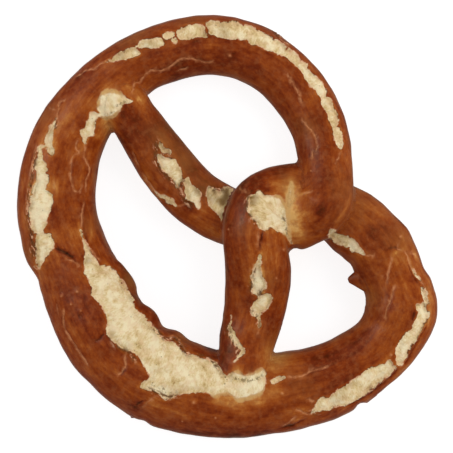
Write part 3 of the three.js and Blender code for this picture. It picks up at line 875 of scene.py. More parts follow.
def near_lines(lines, points, width):
    """1 on any of the lines seen from above, falling to 0 over their width and towards their ends."""
    closeness = np.zeros(len(points))
    for corners in lines:
        line = smooth_line(corners, LINE_STEPS)
        near = close_by(points, line, LINE_MARGIN * width)
        along = way_along(line)
        for a, b, first, last in zip(line, line[1:], along, along[1:]):
            away, share = from_edge(points[near, :2], a, b)
            passed = share * (last - first)
            from_end = np.minimum(first + passed, along[-1] - first - passed)
            taper = END_STRENGTH + (1 - END_STRENGTH) * smooth_step(from_end, 0, END_TAPER)
            closeness[near] = np.maximum(closeness[near], np.exp(-((away / width) ** 2)) * taper)
    return closeness


def wandered(points):
    """Points shifted a little to and fro, so that lines drawn through them wander."""
    shifts = [WANDER * ripple(points, WANDER_SIZE, seed) for seed in WANDER_PATTERNS]
    return points + np.column_stack([*shifts, np.zeros(len(points))])


def finer(piece, chosen):
    """Splits the faces whose points are chosen, for edges that need more points."""
    mesh = bmesh.new()
    mesh.from_mesh(piece.data)
    mesh.verts.ensure_lookup_table()
    edges = [edge for edge in mesh.edges if chosen[edge.verts[0].index] and chosen[edge.verts[1].index]]
    bmesh.ops.subdivide_edges(mesh, edges=edges, cuts=1, use_grid_fill=True)
    mesh.to_mesh(piece.data)
    mesh.free()


def nearest_length(points, feet):
    """Which length of the rope each point belongs to, and its place along the rope."""
    each = np.array([outside_by(points, place, *ends) for place, ends in zip(feet, lengths)])
    which = each.argmin(0)
    return which, np.array(feet)[which, np.arange(len(points))]


all_lines = PALE_CRACKS + GOLD_STREAKS + SHADED_CREASES + CRUMB_SHADE_SEAMS + FRAYED_EDGES
for edge_reach, line_width, within in FINER_ROUNDS:
    points, outward, feet = drawn_on_to_dough(points_of(pretzel.data))
    pretzel.data.vertices.foreach_set("co", points.ravel())
    which, place = nearest_length(points, feet)
    drawn = drawn_places(points)
    tear = tear_depth(drawn, which == 0)
    fine = (abs(tear) < edge_reach) | (tear > within)
    fine |= near_lines(all_lines, drawn, line_width) > AT_REACH
    for x, y, radius, rise in SPECKS:
        fine |= hill(drawn, x, y, radius + edge_reach * SPECK_MARGIN) > AT_REACH
    fine &= outward[:, 2] > UPPER_SIDE
    for x, y, z, reach, *_ in FLAKES:
        fine |= np.linalg.norm(points - (x, y, z), axis=1) < reach * FINE_FLAKES
    finer(pretzel, fine)

points, outward, feet = drawn_on_to_dough(points_of(pretzel.data))
which, place = nearest_length(points, feet)
above = smooth_step(points[:, 2] - belt[place], *BELT_FADE)
drawn = drawn_places(points)
tear = np.where(above > BARELY, tear_depth(drawn, which == 0), -FURTHEST)
shifted = wandered(drawn)
cracks = near_lines(PALE_CRACKS, shifted, CRACK_WIDTH) * (tear < CRACKS_INTO_TEARS) * above
crack_sides = near_lines(PALE_CRACKS, shifted, CRACK_WIDTH * CRACK_SIDES) * (tear < 0) * above
creases = near_lines(SHADED_CREASES, shifted, CREASE_WIDTH) * above
seams = near_lines(CRUMB_SHADE_SEAMS, shifted, SEAM_WIDTH) * above
streaks = near_lines(GOLD_STREAKS, shifted, STREAK_WIDTH) * above
frayed = near_lines(FRAYED_EDGES, drawn, FRAY_REACH) * above
faded = np.minimum(1, sum(hill(drawn, *row) for row in FADED_EDGES))

sharp = USUAL_SHARPNESS + SHARPNESS_VARIES * ripple(points, SHARPNESS_LENGTH, SHARPNESS_PATTERN)
sharp = sharp.clip(*SHARPNESS_BOUNDS) * (1 - FADE_SOFTENS * faded)
lip = LIP_RISE * sharp * np.exp(np.minimum(tear, 0) / LIP_REACH) * (tear < 0)
step_ends = STEP_ENDS + STEP_SLACK * (SHARPNESS_BOUNDS[1] - sharp)
step = CRUST_STEP * sharp * smooth_step(tear, STEP_STARTS, step_ends)
dome = CRUMB_DOME * (1 - np.exp(-tear.clip(0) / CRUMB_REACH))
relief = above * (lip - step + dome)
lines_relief = CRACK_LIP * crack_sides - (CRACK_DEPTH + CRACK_LIP) * cracks - CREASE_DEPTH * creases
relief += lines_relief - SEAM_DEPTH * seams
relief += sum(rise * ripple(points, size, seed) for rise, size, seed in ROPE_WAVES)
relief += FRAY_RISE * frayed * ripple(points, FRAY_SIZE, FRAY_PATTERN)
in_crumb = above * smooth_step(tear, 0, CRUMB_EDGE)
near_edge = np.exp(-tear.clip(0) / CRAG_REACH)
for size, rise, edge_rise in MOUNDS:
    relief += in_crumb * (rise + edge_rise * near_edge) * ripple(points, size, size)
for row in SPECKS:
    relief += above * hill(drawn, *row)
for row in SWELLS:
    relief += hill(points, *row)
points = points + outward * relief[:, None]
points[:, 2] = points[:, 2].clip(0)
pretzel.data.vertices.foreach_set("co", points.ravel())


# ---- Crust and crumb -----------------------------------------------------------------------
# The dough was dipped in lye, so its skin has baked to a thin, hard, shiny red-brown crust. It is
# golden where it was stretched or shielded, and the crumb in its splits is dry and cream. Painted
# shade, painted shadow, painted highlight and a painted rim sheen are laid into these colours too.

# Places that baked paler (above 0) or darker (below 0), by reach: x, y, share in hundredths. Besides
# bake tone they hold painted light: painted shadow under the crossing arm and under crust edges,
# painted shade on flanks that face away from the soft boxes, and painted highlight on shoulders.
# They are listed, the first judged from the photograph, and most of them chosen from how the
# render's brightness differed from the photograph's.
BAKE_AND_PAINTED_LIGHT_PLACES = [
    # the twist and both arms
    (1, [(-14.8, 4, -20)]),
    (1.2, [(-14, 8.3, -30), (6, 16, -14), (8, 15.3, -14), (10, 14.2, -12)]),
    (1.5, [(-12, 7.9, -30), (-17, 1, -15), (-20, -16.5, 20), (5.5, 25, -6)]),
    (1.6, [(-7, 29.5, 12), (3, 25.8, -5)]),
    (2, [
        (-12, 34, 20), (4.5, 38, -10), (52.5, -8, 20), (20, 10.5, 12), (27, 8.6, 12), (27.5, 8, 10),
        (-23.5, -18.4, 30),
        (-27.5, -19.8, 30), (13.5, 41.5, -12), (14, 41.5, -12), (52.5, -10, 15), (6.5, 25, -5),
        (6, 17.5, 8), (-5.5, 17, -5),
        (-16, -17, -12),
    ]),
    (2.2, [(-9.6, 6.2, -26), (-5, 3.8, -28)]),
    (2.5, [
        (-8.5, 32.5, 24), (0, 29.5, 30), (4, 28.8, 30), (-7.5, 25.5, 16), (2, 0.5, 20), (50.5, -13, -20),
        (-12, -7, -20), (-14, 0.5, -12), (-10, -1.2, 14), (-13, 30, -12), (2, 29.8, 12), (19.5, 10, 12),
        (-20, -12.5, 10), (-31, -19, 8), (-43, -3, -10), (-7.5, 18.5, -7), (-1, 39.5, -8), (2, 5, -8),
        (-11, 16.5, -10), (-8, 22, -6), (-12, 38.5, 10), (-45, -4.5, -13), (-36, -1.5, -10),
        (-30, 0.5, -12), (-9, 36, -8),
    ]),
    (3, [
        (8, 28.5, 30), (13.5, 29, 16), (-10, 28.5, 18), (23, 2, 6), (-15, 33, -14), (-15.5, 28, -14),
        (-15, 14.5, -16), (5, 41.5, -14), (-1, 6, -12), (-8, 12, -14), (31, 4.5, -8), (30, 5, -6),
        (41, 11, -8),
        (41, -9.8, -16), (46, -15.5, -12), (39, 2, 10), (50, 2, 12), (-12, 4.6, -10), (-11, 4.6, -8),
        (-8, 17, -12),
        (-6, 17, -6), (-24, -3, -10), (-20, -12.5, -4), (-30, -20, 8), (31, 9, 10), (5, 14, 10),
        (8, 36, 10), (-17, -2, -22), (-18, -3, -6), (42, -17, -14), (-5, 11, -12), (15, 9.5, -8),
        (29, 3.4, -6),
        (-38, -2.5, -10), (-8, -5, 8), (-28, -13, -8), (-3.5, 30.5, 16), (-25, -1.5, -8), (-35, -3.5, -8),
        (-31, -14.5, -6), (52, 6, 10), (53, 9, 10), (52, 8, 4), (7, 0, -6), (15, 0, -8), (20, 9.5, 6),
        (0, -1, 10),
        (-9, -7, 8), (-12, 1.5, -8), (56, 4, 3), (7, 32, 8), (-12, 13, -8), (-42, -3.5, -8), (-19, 4, -8),
        (-30, -4, -6), (28, 1.5, 6), (38, -5, -5), (-12, 35.5, -10), (-44, -13, -5),
    ]),
    (3.5, [(-4.5, 32.5, 34), (11, 0.5, -10), (35, -8, -12)]),
    (4, [
        (10, 30.5, 20), (3, 12.5, 5), (10, 11.5, 10), (12, 20.5, 8), (17, 6, 9), (-14.5, 21, -16),
        (5, 3, -10), (20, 0, -12), (38, 7, -10), (46.5, -10.5, -20), (-3, -3, 14), (-43, -3, -10),
        (-45, -10, -10), (-44, -21.5, -10), (-22, -13, -8),
    ]),
    (4.5, [(2, 33, 20)]),
    (5, [(7, 18.5, 10), (15, 15, 16), (-50, -19, -16), (21, 9, 15)]),
    # the left loop
    (1.5, [(-73, -3, -8)]),
    (2, [(-55.5, 20, 18), (-57, 15, 8)]),
    (2.5, [
        (-59, 40, -8), (-61.5, 3, -12), (-71, 4, 10), (-36, 59.5, 12), (-65, 44, -10), (-40, 55, -6),
        (-63, 26, 6), (-52.5, 22, 12), (-56, 13, 8), (-53, 20, 10), (-56, 16, 8),
    ]),
    (3, [
        (-25, 45.5, 8), (-56, 31, -7), (-68, 19, 8), (-61, 15, -12), (-75, 0, -8), (-36, 43, -6),
        (-53, 46, -10), (-75, 26, -8), (-54, 27, 10), (-60, 49, 10), (-24, 55.3, -7), (-70, 26.5, -8),
        (-60.5, 21, -10), (-52, 25, 12), (-47, 30.5, 10), (-35.5, 50.5, 7), (-45, 52, -5), (1.5, 47.5, -6),
        (-19, 55, -7), (-18, 46.5, -7), (-60, 41, -7), (-35, 60, 6),
    ]),
    (3.5, [(-11, 56, 10)]),
    (4, [
        (2, 49.5, -6), (-28, 53, -5), (-51, 56, 10), (-61, 25, -10), (-71, 14, -12), (-72, 15, -7),
        (-66, -1, -10),
        (-13, 52, 10), (-15, 45, -8), (-77, -14, -12), (-77, -4, -10), (-34, 55.3, -10), (-35, 55.2, -8),
        (-28, 45, -8),
        (-73, 26, -10), (-55, 31, -10), (-64, 5, -8), (-76, -6, -7), (-76, 0, -6), (-68, 14, -6),
    ]),
    (5, [(-9, 46, -6), (-67, 27, -6), (-66, 7, -14), (-38, 51, 10), (-45, 44, -7)]),
    # the left end and the lower left
    (0.7, [(-8.2, -58, 12), (-6.5, -56.4, 12), (-4.8, -54.8, 12)]),
    (0.8, [(-8.3, -56, -16)]),
    (0.9, [(-12.4, -60, -22), (-11, -58.6, -22), (-9.6, -57.2, -20)]),
    (1.2, [(-21.3, -60.7, -12)]),
    (1.3, [(-30, -56.6, -13), (-27, -57.8, -14), (-24, -59.3, -13)]),
    (1.4, [(-38.5, -52.8, 13), (-35.5, -54.4, 12)]),
    (2, [
        (-58, -17.5, -16), (-36.5, -54, 20), (-15, -61.5, -8), (-38, -60.5, 12), (-30, -67, -10),
        (-55.5, -9.5, -12), (-44.5, -50.8, -10), (-53, -46.5, -6),
    ]),
    (2.5, [
        (-46, -40, 16), (-57, -36.5, -10), (-55, -19.5, -12), (-56, -31, -6), (-51, -34, -6),
        (-14, -61.5, -10), (-33, -63.5, 12), (-58, -27.5, 8), (-56.5, -27.5, 6), (-8, -46, 6),
    ]),
    (3, [
        (-20, -65, 12), (-34, -53, 10), (-65.5, -22, 26), (-48, -30.5, 10), (-52, -40.5, 14),
        (-4, -71.5, 12), (-3, -71.5, 6), (-32, -46, 6), (-27, -58, -8), (-38, -60, 6), (-38, -60.5, 5),
        (-75, -15, -12),
        (-58, -20, -10), (-55, -40, -6), (-59, -18.5, -8), (-56, -48.5, 9), (-51, -50.5, 8), (-50, -50, 8),
        (-36, -62, 8), (-30, -65.5, 8), (-12, -64, 6), (-11, -60, 6), (-45, -43, 8), (-34, -44, 8),
        (-53, -45, 5), (-53, -50, 8), (-48, -51.5, 7), (-16, -50, -5), (-58, -28, 6), (-35, -60, 10),
        (-17, -72.5, 8), (-48, -64, 7), (-63, -37.5, 7),
    ]),
    (3.5, [(-51.5, -26.5, 34)]),
    (4, [
        (-37, -60, 15), (-28, -64, 12), (-28, -65, 8), (-59, -24, 14), (-57, -11.5, 20), (-62, -15.5, 26),
        (-60, -41, 22), (-57, -45, 8), (-72, -32, -14), (-43, -66, 8), (-18, -45, 4), (-17, -58, 12),
        (-65, -25, 6), (-49, -29, 8), (-55, -35, -8), (-25, -65, 7), (-20, -47, -6),
    ]),
    (4.5, [(-62, -31.5, 14)]),
    (5, [(-28, -68, 9), (-17, -52, 8)]),
    (6, [(-47, -45, 12), (-6, -66, 10)]),
    # the belly
    (1.5, [(54, -49, -12)]),
    (1.8, [(14, -38.3, -12)]),
    (2, [
        (32, -29.5, -10), (22, -52, 10), (57.5, -20.5, -12), (53.5, -4.5, -12), (57, -1, -10),
        (65.5, -6.5, 10), (61.8, -15.5, 12),
    ]),
    (2.5, [
        (54, -51.5, -18), (57.5, -25, -8), (75, -28, -8), (51, -16.5, -10), (29, -48.5, -10), (49, -33, 6),
        (54, -22, 8), (-4, -51, -8), (50, -10, 8), (-5, -50, -10),
    ]),
    (3, [
        (53, -41, 12), (25, -51, -14), (54, -44, 16), (79, -9, -16), (66.5, -4, 32), (64.5, -15, 22),
        (62, -19.5, 24), (65, 2, 26), (64, 1, 6), (55, 5, 20), (79.5, -5, -12), (77, -18, -10),
        (77.5, -18, -10), (71, -38, -10),
        (66, -43, -8), (47, -40.5, -8), (73, -36, -10), (45, -40, -9), (63, -35, 4), (15, -65, -10),
        (60, -16, 8), (56, -19, -6), (43, -24, -8), (72, -34, -10), (67, -41, -10), (-11, -52, 6),
        (-6, -50, -8),
    ]),
    (3.5, [(66, -11, 32)]),
    (4, [
        (5, -38, -12), (23, -32.5, -14), (5, -61, -6), (6, -60, -6), (15, -59, -8), (34, -60.5, 10),
        (47, -50, 6),
        (58, -41, 10), (76, -22, -20), (71, -34, -12), (24, -50, -8), (42, -46, -10), (77.5, -16, -16),
        (73, -29, -14), (74, -19, 8), (67, -29, 5), (66, -18, 5), (15, -39, -10), (15, -50.5, -6),
        (51, 7, 16),
    ]),
    (5, [(8, -53, -8), (-1, -39, -6), (25, -61, 6), (62, -30, 6), (8, -37.5, -10)]),
    (7, [(38, -37, 12)]),
    # the right loop
    (1.3, [(39.5, 67.7, 14)]),
    (1.5, [(78.5, 4, -20)]),
    (1.6, [(49.3, 67.8, 10), (41, 65.6, -10), (44.5, 66.3, -10), (48.5, 65.9, -10), (36, 68.6, 6)]),
    (1.8, [(46.5, 68.6, 14)]),
    (2, [
        (51.5, 40, 14), (27, 53, 15), (52, 16.5, 14), (53, 62.3, -14), (56, 60.3, -12), (48.5, 63, 8),
        (48.5, 41.5, 8),
    ]),
    (2.5, [
        (79.5, 21, -14), (79.5, 35, 16), (46, 66.5, -8), (55, 65.5, -6), (54, 61.5, 8), (65, 46, 6),
        (33, 65.3, 6), (52, 30, 12), (26, 55, -8),
    ]),
    (3, [
        (16, 50, 8), (28, 50, 8), (40, 50, 6), (69, 10, 4), (69, 28, -12), (54, 42, -12), (55, 49, 10),
        (43, 46.5, 10), (42, 47, 6), (15, 52, 10), (31, 60.5, 12), (32, 68.5, 15), (76, 44, 8), (35, 67, 6),
        (51.5, 10, 8), (50.5, 34, 10), (52.3, 13, 8), (48.3, 43, 6), (65, 38, 8), (56, 35, 6), (62, 23, -6),
        (50, 38, 8), (26, 46, 8), (24, 55, -5), (48, 67, -10), (62, 19, -8), (75, 4, 10), (56, 26, 12),
        (33.5, 44, -16),
    ]),
    (3.5, [(60, 20, -12), (70.5, 32, -10)]),
    (4, [
        (47, 63, 10), (28, 64, 10), (75, 9, 12), (58.5, 27, -24), (58, 36, -14), (63, 42, 8),
        (33, 50.5, -6), (18, 57, -16), (13, 64, 14), (11, 59, 10), (23, 69, 8), (36, 57, 7), (43, 71, 10),
        (58, 68, 18), (71.5, 52, 14), (75, 48, 12), (70, 58, 10), (73, 31, -6), (75, 24, -7), (45, 70, 6),
        (78, 6, 6), (34, 54.5, -5), (4, 57, 10), (57, 12, 10),
    ]),
    (5, [(33, 64, 14), (43, 62.5, 12), (50, 71, 20), (64, 62, 10), (74, 23, -8)]),
]
# Places where the crust is more olive than red: x, y, reach, share.
OLIVE_PLACES = [
    (0, 53, 8, 0.3), (10, 60, 8, 0.2), (24, 66, 8, 0.35), (11, 47, 5, 0.15), (-29, -4, 7, 0.6),
    (-42, -8, 7, 0.6), (-17, 1, 5, 0.5), (50, 8, 6, 0.6), (66, 12, 6, 0.3), (-10, 32, 4, 0.5),
    (2, 10, 3, 0.4), (-27, 45, 4, 0.6), (-81, -8, 6, 0.5), (-80, 16, 5, 0.5), (-66, -50, 6, 0.5),
    (8, -37, 4, 0.6), (34, -24, 4, 0.5), (42, 48, 4, 0.4), (-18, -45, 4, 0.4), (23, 13, 5, 0.3),
    (-14, -71, 5, 0.4),
]
# Bake that the tray, the edges of tears, the lines and the specks add or take away. What the
# creases and the sides of the pale cracks take away is painted shade.
TRAY_PALENESS = 0.16
RIM_PALENESS = 0.20
RIM_REACH = 0.7
CRACK_PALENESS = 0.10
STREAK_PALENESS = 0.20
CREASE_SHADE = 0.26
CRACK_SIDE_SHADE = 0.07
SPECK_PALENESS = 0.12
SPECK_TOP = 0.6
# How far a face looks down to be underside, or leans from the top and from below to be flank,
# where a painted greyish sheen is laid on the crust.
UNDERSIDE = (0.3, 0.9)
FLANK_FROM_TOP = (0.45, 0.9)
FLANK_FROM_BELOW = (-0.1, 0.25)

# Colours of crust and crumb through the bake, each with its place from 0 to 1.
BAKE_STAGES = [
    (0.00, (0.032, 0.0070, 0.0009)),
    (0.18, (0.085, 0.0115, 0.0009)),
    (0.34, (0.160, 0.0180, 0.0014)),
    (0.48, (0.240, 0.0380, 0.0030)),
    (0.62, (0.335, 0.0722, 0.0076)),
    (0.76, (0.440, 0.1410, 0.0250)),
    (0.88, (0.580, 0.2480, 0.0560)),
    (1.00, (0.700, 0.3900, 0.1200)),
]
CRUMB_STAGES = [
    (0.00, (0.130, 0.0850, 0.0350)),
    (0.22, (0.350, 0.2050, 0.0660)),
    (0.38, (0.540, 0.3620, 0.1440)),
    (0.52, (0.690, 0.5100, 0.2480)),
    (0.66, (0.790, 0.6200, 0.3450)),
    (0.82, (0.890, 0.7600, 0.4900)),
]
# Painted shade in the crumb's pores and in the pits along its seams.
PIT_SHADE = (0.190, 0.120, 0.040, 1)
SHADED_CRUMB = (0.160, 0.082, 0.024, 1)
PINKER_CRUMB = (0.780, 0.530, 0.310, 1)
PINKER_CRUST = (0.300, 0.085, 0.024, 1)
OLIVE_CRUST = (0.262, 0.094, 0.021, 1)
# A painted greyish sheen for the flanks, which show as the rim from above.
PAINTED_RIM_SHEEN = (0.245, 0.100, 0.036, 1)
CRACK_COLOUR = (0.580, 0.2350, 0.0950, 1)
FADE_GOLD = (0.610, 0.3500, 0.1150, 1)
FRINGE_COLOUR = (0.760, 0.4400, 0.2500, 1)
# Painted shadow under the crust's torn edges and in the frayed holes.
UNDERCUT_SHADOW = (0.130, 0.0420, 0.0090, 1)
# Alike all over the piece: a low, warm shine and the faint bloom that it has towards its sides.
SHINE_AND_BLOOM = {
    "Specular IOR Level": 0.2,
    "Specular Tint": (1.0, 0.74, 0.55, 1),
    "Sheen Weight": 0.22,
    "Sheen Roughness": 0.25,
}

# How the patterns that follow the rope are stretched: along it, across it and up.
STRETCHES = {
    "rope": (1, 1, 1),
    "lengthways": (0.16, 1, 1),
    "crossways": (1, 0.3, 0.3),
    "mottled": (0.6, 1, 1),
    "scaly": (0.5, 1, 1),
}
# Patterns of the baked dough: what each is laid along, its scale, detail and roughness.
PATTERNS = {
    "torn edge": ("crossways", 1.0, 3, 0.6),
    "wandering edge": ("rope", 0.5, 3, 0.55),
    "edge width": ("everywhere", 130, 2, 0.55),
    "patches": ("everywhere", 85, 4, 0.55),
    "bands": ("lengthways", 0.38, 3, 0.55),
    "mottles": ("mottled", 0.34, 4, 0.6),
    "streaks": ("lengthways", 1.2, 4, 0.6),
    "flecks": ("everywhere", 700, 4, 0.65),
    "tints": ("everywhere", 420, 3, 0.6),
    "fibres": ("crossways", 1.7, 4, 0.65),
    "clouds": ("everywhere", 330, 4, 0.6),
    "lumps": ("everywhere", 140, 2, 0.55),
    "dots": ("everywhere", 750, 2, 0.55),
    "holes": ("everywhere", 850, 2, 0.55),
    "cracking": ("everywhere", 480, 2, 0.55),
    "curl": ("everywhere", 230, 2, 0.55),
    "scales": ("scaly", 0.8, 4, 0.65),
}
PORE_SCALE = 400.0
# Sums of fields, patterns and shares: the number that each starts from, and the weights.
SUMS = {
    "torn": (-1.03, {"torn edge": 1.1, "wandering edge": 1.2, "tear": 1.0}),
    "crumb starts": (-0.06, {"faded": -1.0}),
    "crumb is whole": (0.10, {"faded": 2.2}),
    "crust tone and painted light": (-0.383, {
        "patches": 0.28, "bands": 0.44, "mottles": 0.46, "streaks": 0.20, "flecks": 0.32, "bake_and_painted_light": 1.0,
    }),
    "crumb light": (-0.68, {"fibres": 0.9, "clouds": 0.9, "lumps": 0.95, "edge": -0.12, "bake_and_painted_light": 0.5}),
    "pinker crumb": (0.0, {"pink spots": 1.0, "edge": 0.35}),
    "pits": (-1.48, {"pores": 0.55, "dots": 2.0}),
    "pitted crumb": (0.0, {"pit holes": 1.0, "seam holes": 1.0}),
    "unfaded": (1.0, {"faded": -1.0}),
    "crust height": (0.0, {"mottles": 0.35, "streaks": 0.15, "flecks": 0.12}),
    "crumb height": (0.0, {"fibres": 0.8, "clouds": 0.8, "pitted crumb": -1.0}),
}
# Shares that follow a value: which value, its range, and the share at each end of that.
SHARES = {
    "pinker crust": ("tints", 0.45, 0.70, 0.0, 0.42),
    "olive patches": ("patches", 0.3, 0.6, 0.5, 1.0),
    "flank mottles": ("mottles", 0.38, 0.62, 0.25, 0.75),
    "edge breadth": ("edge width", 0.35, 0.65, 0.4, 2.4, "LINEAR"),
    "edge": ("inward", 0.0, 1.0, 1.0, 0.0),
    "pink spots": ("tints", 0.45, 0.65, 0.0, 0.38),
    "shaded crumb": ("bake_and_painted_light", -0.40, -0.08, 0.9, 0.0),
    "pores": ("cells", 0.06, 0.24, 1.0, 0.0),
    "pit holes": ("pits", 0.0, 0.45, 0.0, 0.75),
    "seam spots": ("holes", 0.51, 0.61, 0.0, 0.75),
    "crack spots": ("cracking", 0.38, 0.58, 0.3, 0.85),
    "undercut shadow spots": ("curl", 0.50, 0.62, 0.0, 0.6),
    "fringe spots": ("curl", 0.38, 0.48, 0.8, 0.0),
    "frayed hole shadows": ("scales", 0.46, 0.53, 0.9, 0.0),
    "frayed scales": ("scales", 0.54, 0.62, 0.0, 0.9),
    "crust roughness": ("mottles", 0.3, 0.7, 0.30, 0.52, "LINEAR"),
}
# Lines where a value is near one amount: that amount and how far off the line still shows.
FADE_LINE = (0.45, 0.5)
FADE_STRENGTH = 0.8
UNDERCUT_SHADOW_LINE = (-0.06, 0.36)
FRINGE_LINE = (-0.02, 0.30)
LINE_CORE = 0.3
CRUMB_ROUGHNESS = 0.95
BUMP_STRENGTH = 0.6
BUMP_RISE = 0.0009

# Bake tone together with the painted shade, shadow and highlight of the places above.
bake_and_painted_light = np.zeros(len(points))
for reach, places in BAKE_AND_PAINTED_LIGHT_PLACES:
    bake_and_painted_light += sum(hill(drawn, x, y, reach, share / 100) for x, y, share in places)
bake_and_painted_light += TRAY_PALENESS * smooth_step(-outward[:, 2], *UNDERSIDE)
bake_and_painted_light += RIM_PALENESS * np.exp(np.minimum(tear, 0) / RIM_REACH) * (tear < 0)
bake_and_painted_light += CRACK_PALENESS * cracks + STREAK_PALENESS * streaks
# Painted shade along the creases and beside the pale cracks.
bake_and_painted_light -= CREASE_SHADE * creases + CRACK_SIDE_SHADE * crack_sides
for x, y, radius, rise in SPECKS:
    bake_and_painted_light += above * hill(drawn, x, y, radius, SPECK_PALENESS)
    cracks = np.maximum(cracks, above * hill(drawn, x, y, radius * SPECK_TOP))

fields = {
    "tear": tear,
    "bake_and_painted_light": bake_and_painted_light,
    "olive": np.minimum(1, sum(hill(drawn, *row) for row in OLIVE_PLACES)),
    "flank": (smooth_step(1 - outward[:, 2], *FLANK_FROM_TOP)
              * smooth_step(outward[:, 2], *FLANK_FROM_BELOW)),
    "cracked": cracks,
    "frayed": frayed,
    "faded": faded,
    "pitted": near_lines(CRUMB_SHADE_SEAMS, shifted, PITS_REACH) * above,
    "along": along_rope[place],
    "aside": ((points[:, :2] - plan[place]) * side[place]).sum(1),
    "tall": points[:, 2],
}
for name, amounts in fields.items():
    layer = pretzel.data.attributes.new(name, "FLOAT", "POINT")
    layer.data.foreach_set("value", np.ascontiguousarray(amounts, dtype=np.float32))
pretzel.data.polygons.foreach_set("use_smooth", [True] * len(pretzel.data.polygons))
pretzel.data.transform(Matrix.Scale(MM, 4))


def add(tree, kind, inputs, **settings):
    """A node of a finish, with its settings, and its inputs linked or set."""
    made = tree.nodes.new("ShaderNode" + kind)
    for name, value in settings.items():
        setattr(made, name, value)
    for name, value in inputs.items():
        if isinstance(value, bpy.types.NodeSocket):
            tree.links.new(value, made.inputs[name])
        else:
            made.inputs[name].default_value = value
    return made


def ramp(tree, fac, stages):
    """Colours through the stages, each with its place from 0 to 1."""
    made = add(tree, "ValToRGB", {"Fac": fac})
    elements = made.color_ramp.elements
    while len(elements) < len(stages):
        elements.new(1)
    for element, (at, colour) in zip(elements, stages):
        element.position = at
        element.color = (*colour, 1)
    return made.outputs["Color"]


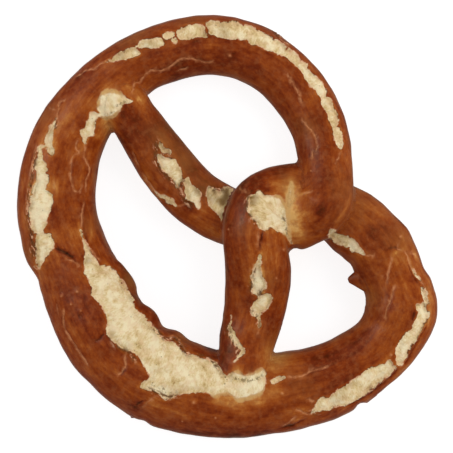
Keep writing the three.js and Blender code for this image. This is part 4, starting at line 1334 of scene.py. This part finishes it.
def baked_dough():
    """The one finish of crust and crumb, led by the fields that the mesh carries."""
    finish = bpy.data.materials.new("baked_dough")
    finish.use_nodes = True
    tree = finish.node_tree
    shader = tree.nodes["Principled BSDF"]
    for name, value in SHINE_AND_BLOOM.items():
        shader.inputs[name].default_value = value
    values = {name: add(tree, "Attribute", {}, attribute_name=name).outputs["Fac"] for name in fields}

    def total(name):
        """One of the sums, also kept under its name."""
        amount, weights = SUMS[name]
        for part, weight in weights.items():
            made = add(tree, "Math", {0: values[part], 1: weight, 2: amount}, operation="MULTIPLY_ADD")
            amount = made.outputs[0]
        values[name] = amount
        return amount

    def spread(value, low, high, at_low=0.0, at_high=1.0, kind="SMOOTHSTEP"):
        inputs = {"Value": value, "From Min": low, "From Max": high, "To Min": at_low, "To Max": at_high}
        return add(tree, "MapRange", inputs, interpolation_type=kind).outputs[0]

    def share(name):
        """One of the shares, also kept under its name."""
        leading, *ends = SHARES[name]
        values[name] = spread(values[leading], *ends)
        return values[name]

    def times(amount, *others):
        for other in others:
            amount = add(tree, "Math", {0: amount, 1: other}, operation="MULTIPLY").outputs[0]
        return amount

    def near(value, middle, reach):
        """1 where a value is at the middle, falling to 0 within its reach."""
        from_middle = add(tree, "Math", {0: value, 1: middle}, operation="SUBTRACT").outputs[0]
        away = add(tree, "Math", {0: from_middle}, operation="ABSOLUTE").outputs[0]
        return spread(away, reach * LINE_CORE, reach, 1.0, 0.0)

    def covered(colour, *layers):
        """A colour with shares of other colours laid on it, one after the other."""
        for amount, layer_colour in layers:
            made = add(tree, "Mix", {"Factor": amount}, data_type="RGBA")
            for name, value in (("A", colour), ("B", layer_colour)):
                socket = next(s for s in made.inputs if s.name == name and s.type == "RGBA")
                if isinstance(value, bpy.types.NodeSocket):
                    tree.links.new(value, socket)
                else:
                    socket.default_value = value
            colour = next(s for s in made.outputs if s.type == "RGBA")
        return colour

    place_on_rope = {"X": values["along"], "Y": values["aside"], "Z": values["tall"]}
    over = add(tree, "CombineXYZ", place_on_rope).outputs[0]
    ways = {"everywhere": add(tree, "TexCoord", {}).outputs["Object"]}
    for name, stretch in STRETCHES.items():
        ways[name] = add(tree, "VectorMath", {0: over, 1: stretch}, operation="MULTIPLY").outputs[0]
    for name, (way, scale, detail, roughness) in PATTERNS.items():
        inputs = {"Vector": ways[way], "Scale": scale, "Detail": detail, "Roughness": roughness}
        values[name] = add(tree, "TexNoise", inputs).outputs["Fac"]
    cells = add(tree, "TexVoronoi", {"Vector": ways["everywhere"], "Scale": PORE_SCALE})
    values["cells"] = cells.outputs["Distance"]

    torn = total("torn")
    crumb_share = spread(torn, total("crumb starts"), total("crumb is whole"))
    # The crust's colour, led by the bake field with its painted shade and painted highlight.
    crust_colour = covered(
        ramp(tree, total("crust tone and painted light"), BAKE_STAGES),
        (share("pinker crust"), PINKER_CRUST),
        (times(values["olive"], share("olive patches")), OLIVE_CRUST),
        # painted sheen on the flanks
        (times(values["flank"], share("flank mottles")), PAINTED_RIM_SHEEN),
    )

    values["inward"] = add(tree, "Math", {0: torn, 1: share("edge breadth")}, operation="DIVIDE").outputs[0]
    values["seam holes"] = times(values["pitted"], share("seam spots"))
    for name in ("edge", "pink spots", "pores"):
        share(name)
    total("pits")
    share("pit holes")
    # The crumb's colour, with painted shade from the bake field and painted shade in its pits.
    crumb_colour = covered(
        ramp(tree, total("crumb light"), CRUMB_STAGES),
        (total("pinker crumb"), PINKER_CRUMB),
        (share("shaded crumb"), SHADED_CRUMB),
        (total("pitted crumb"), PIT_SHADE),
    )

    unfaded = total("unfaded")
    # Painted shadow under the torn crust edges and in the frayed holes is laid over the rest.
    surface = covered(
        crust_colour,
        (crumb_share, crumb_colour),
        (times(values["faded"], near(crumb_share, *FADE_LINE), FADE_STRENGTH), FADE_GOLD),
        (times(values["cracked"], share("crack spots")), CRACK_COLOUR),
        (times(near(torn, *UNDERCUT_SHADOW_LINE), unfaded, share("undercut shadow spots")), UNDERCUT_SHADOW),
        (times(near(torn, *FRINGE_LINE), unfaded, share("fringe spots")), FRINGE_COLOUR),
        (times(values["frayed"], share("frayed hole shadows")), UNDERCUT_SHADOW),
        (times(values["frayed"], share("frayed scales")), FRINGE_COLOUR),
    )
    tree.links.new(surface, shader.inputs["Base Color"])

    def crust_or_crumb(on_crust, on_crumb):
        made = add(tree, "Mix", {"Factor": crumb_share, "A": on_crust, "B": on_crumb}, data_type="FLOAT")
        return made.outputs["Result"]

    rough = crust_or_crumb(share("crust roughness"), CRUMB_ROUGHNESS)
    tree.links.new(rough, shader.inputs["Roughness"])
    rise = crust_or_crumb(total("crust height"), total("crumb height"))
    bump = add(tree, "Bump", {"Strength": BUMP_STRENGTH, "Distance": BUMP_RISE, "Height": rise})
    tree.links.new(bump.outputs["Normal"], shader.inputs["Normal"])
    return finish


pretzel.data.materials.clear()
pretzel.data.materials.append(baked_dough())
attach(pretzel, "root")
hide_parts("pretzel")
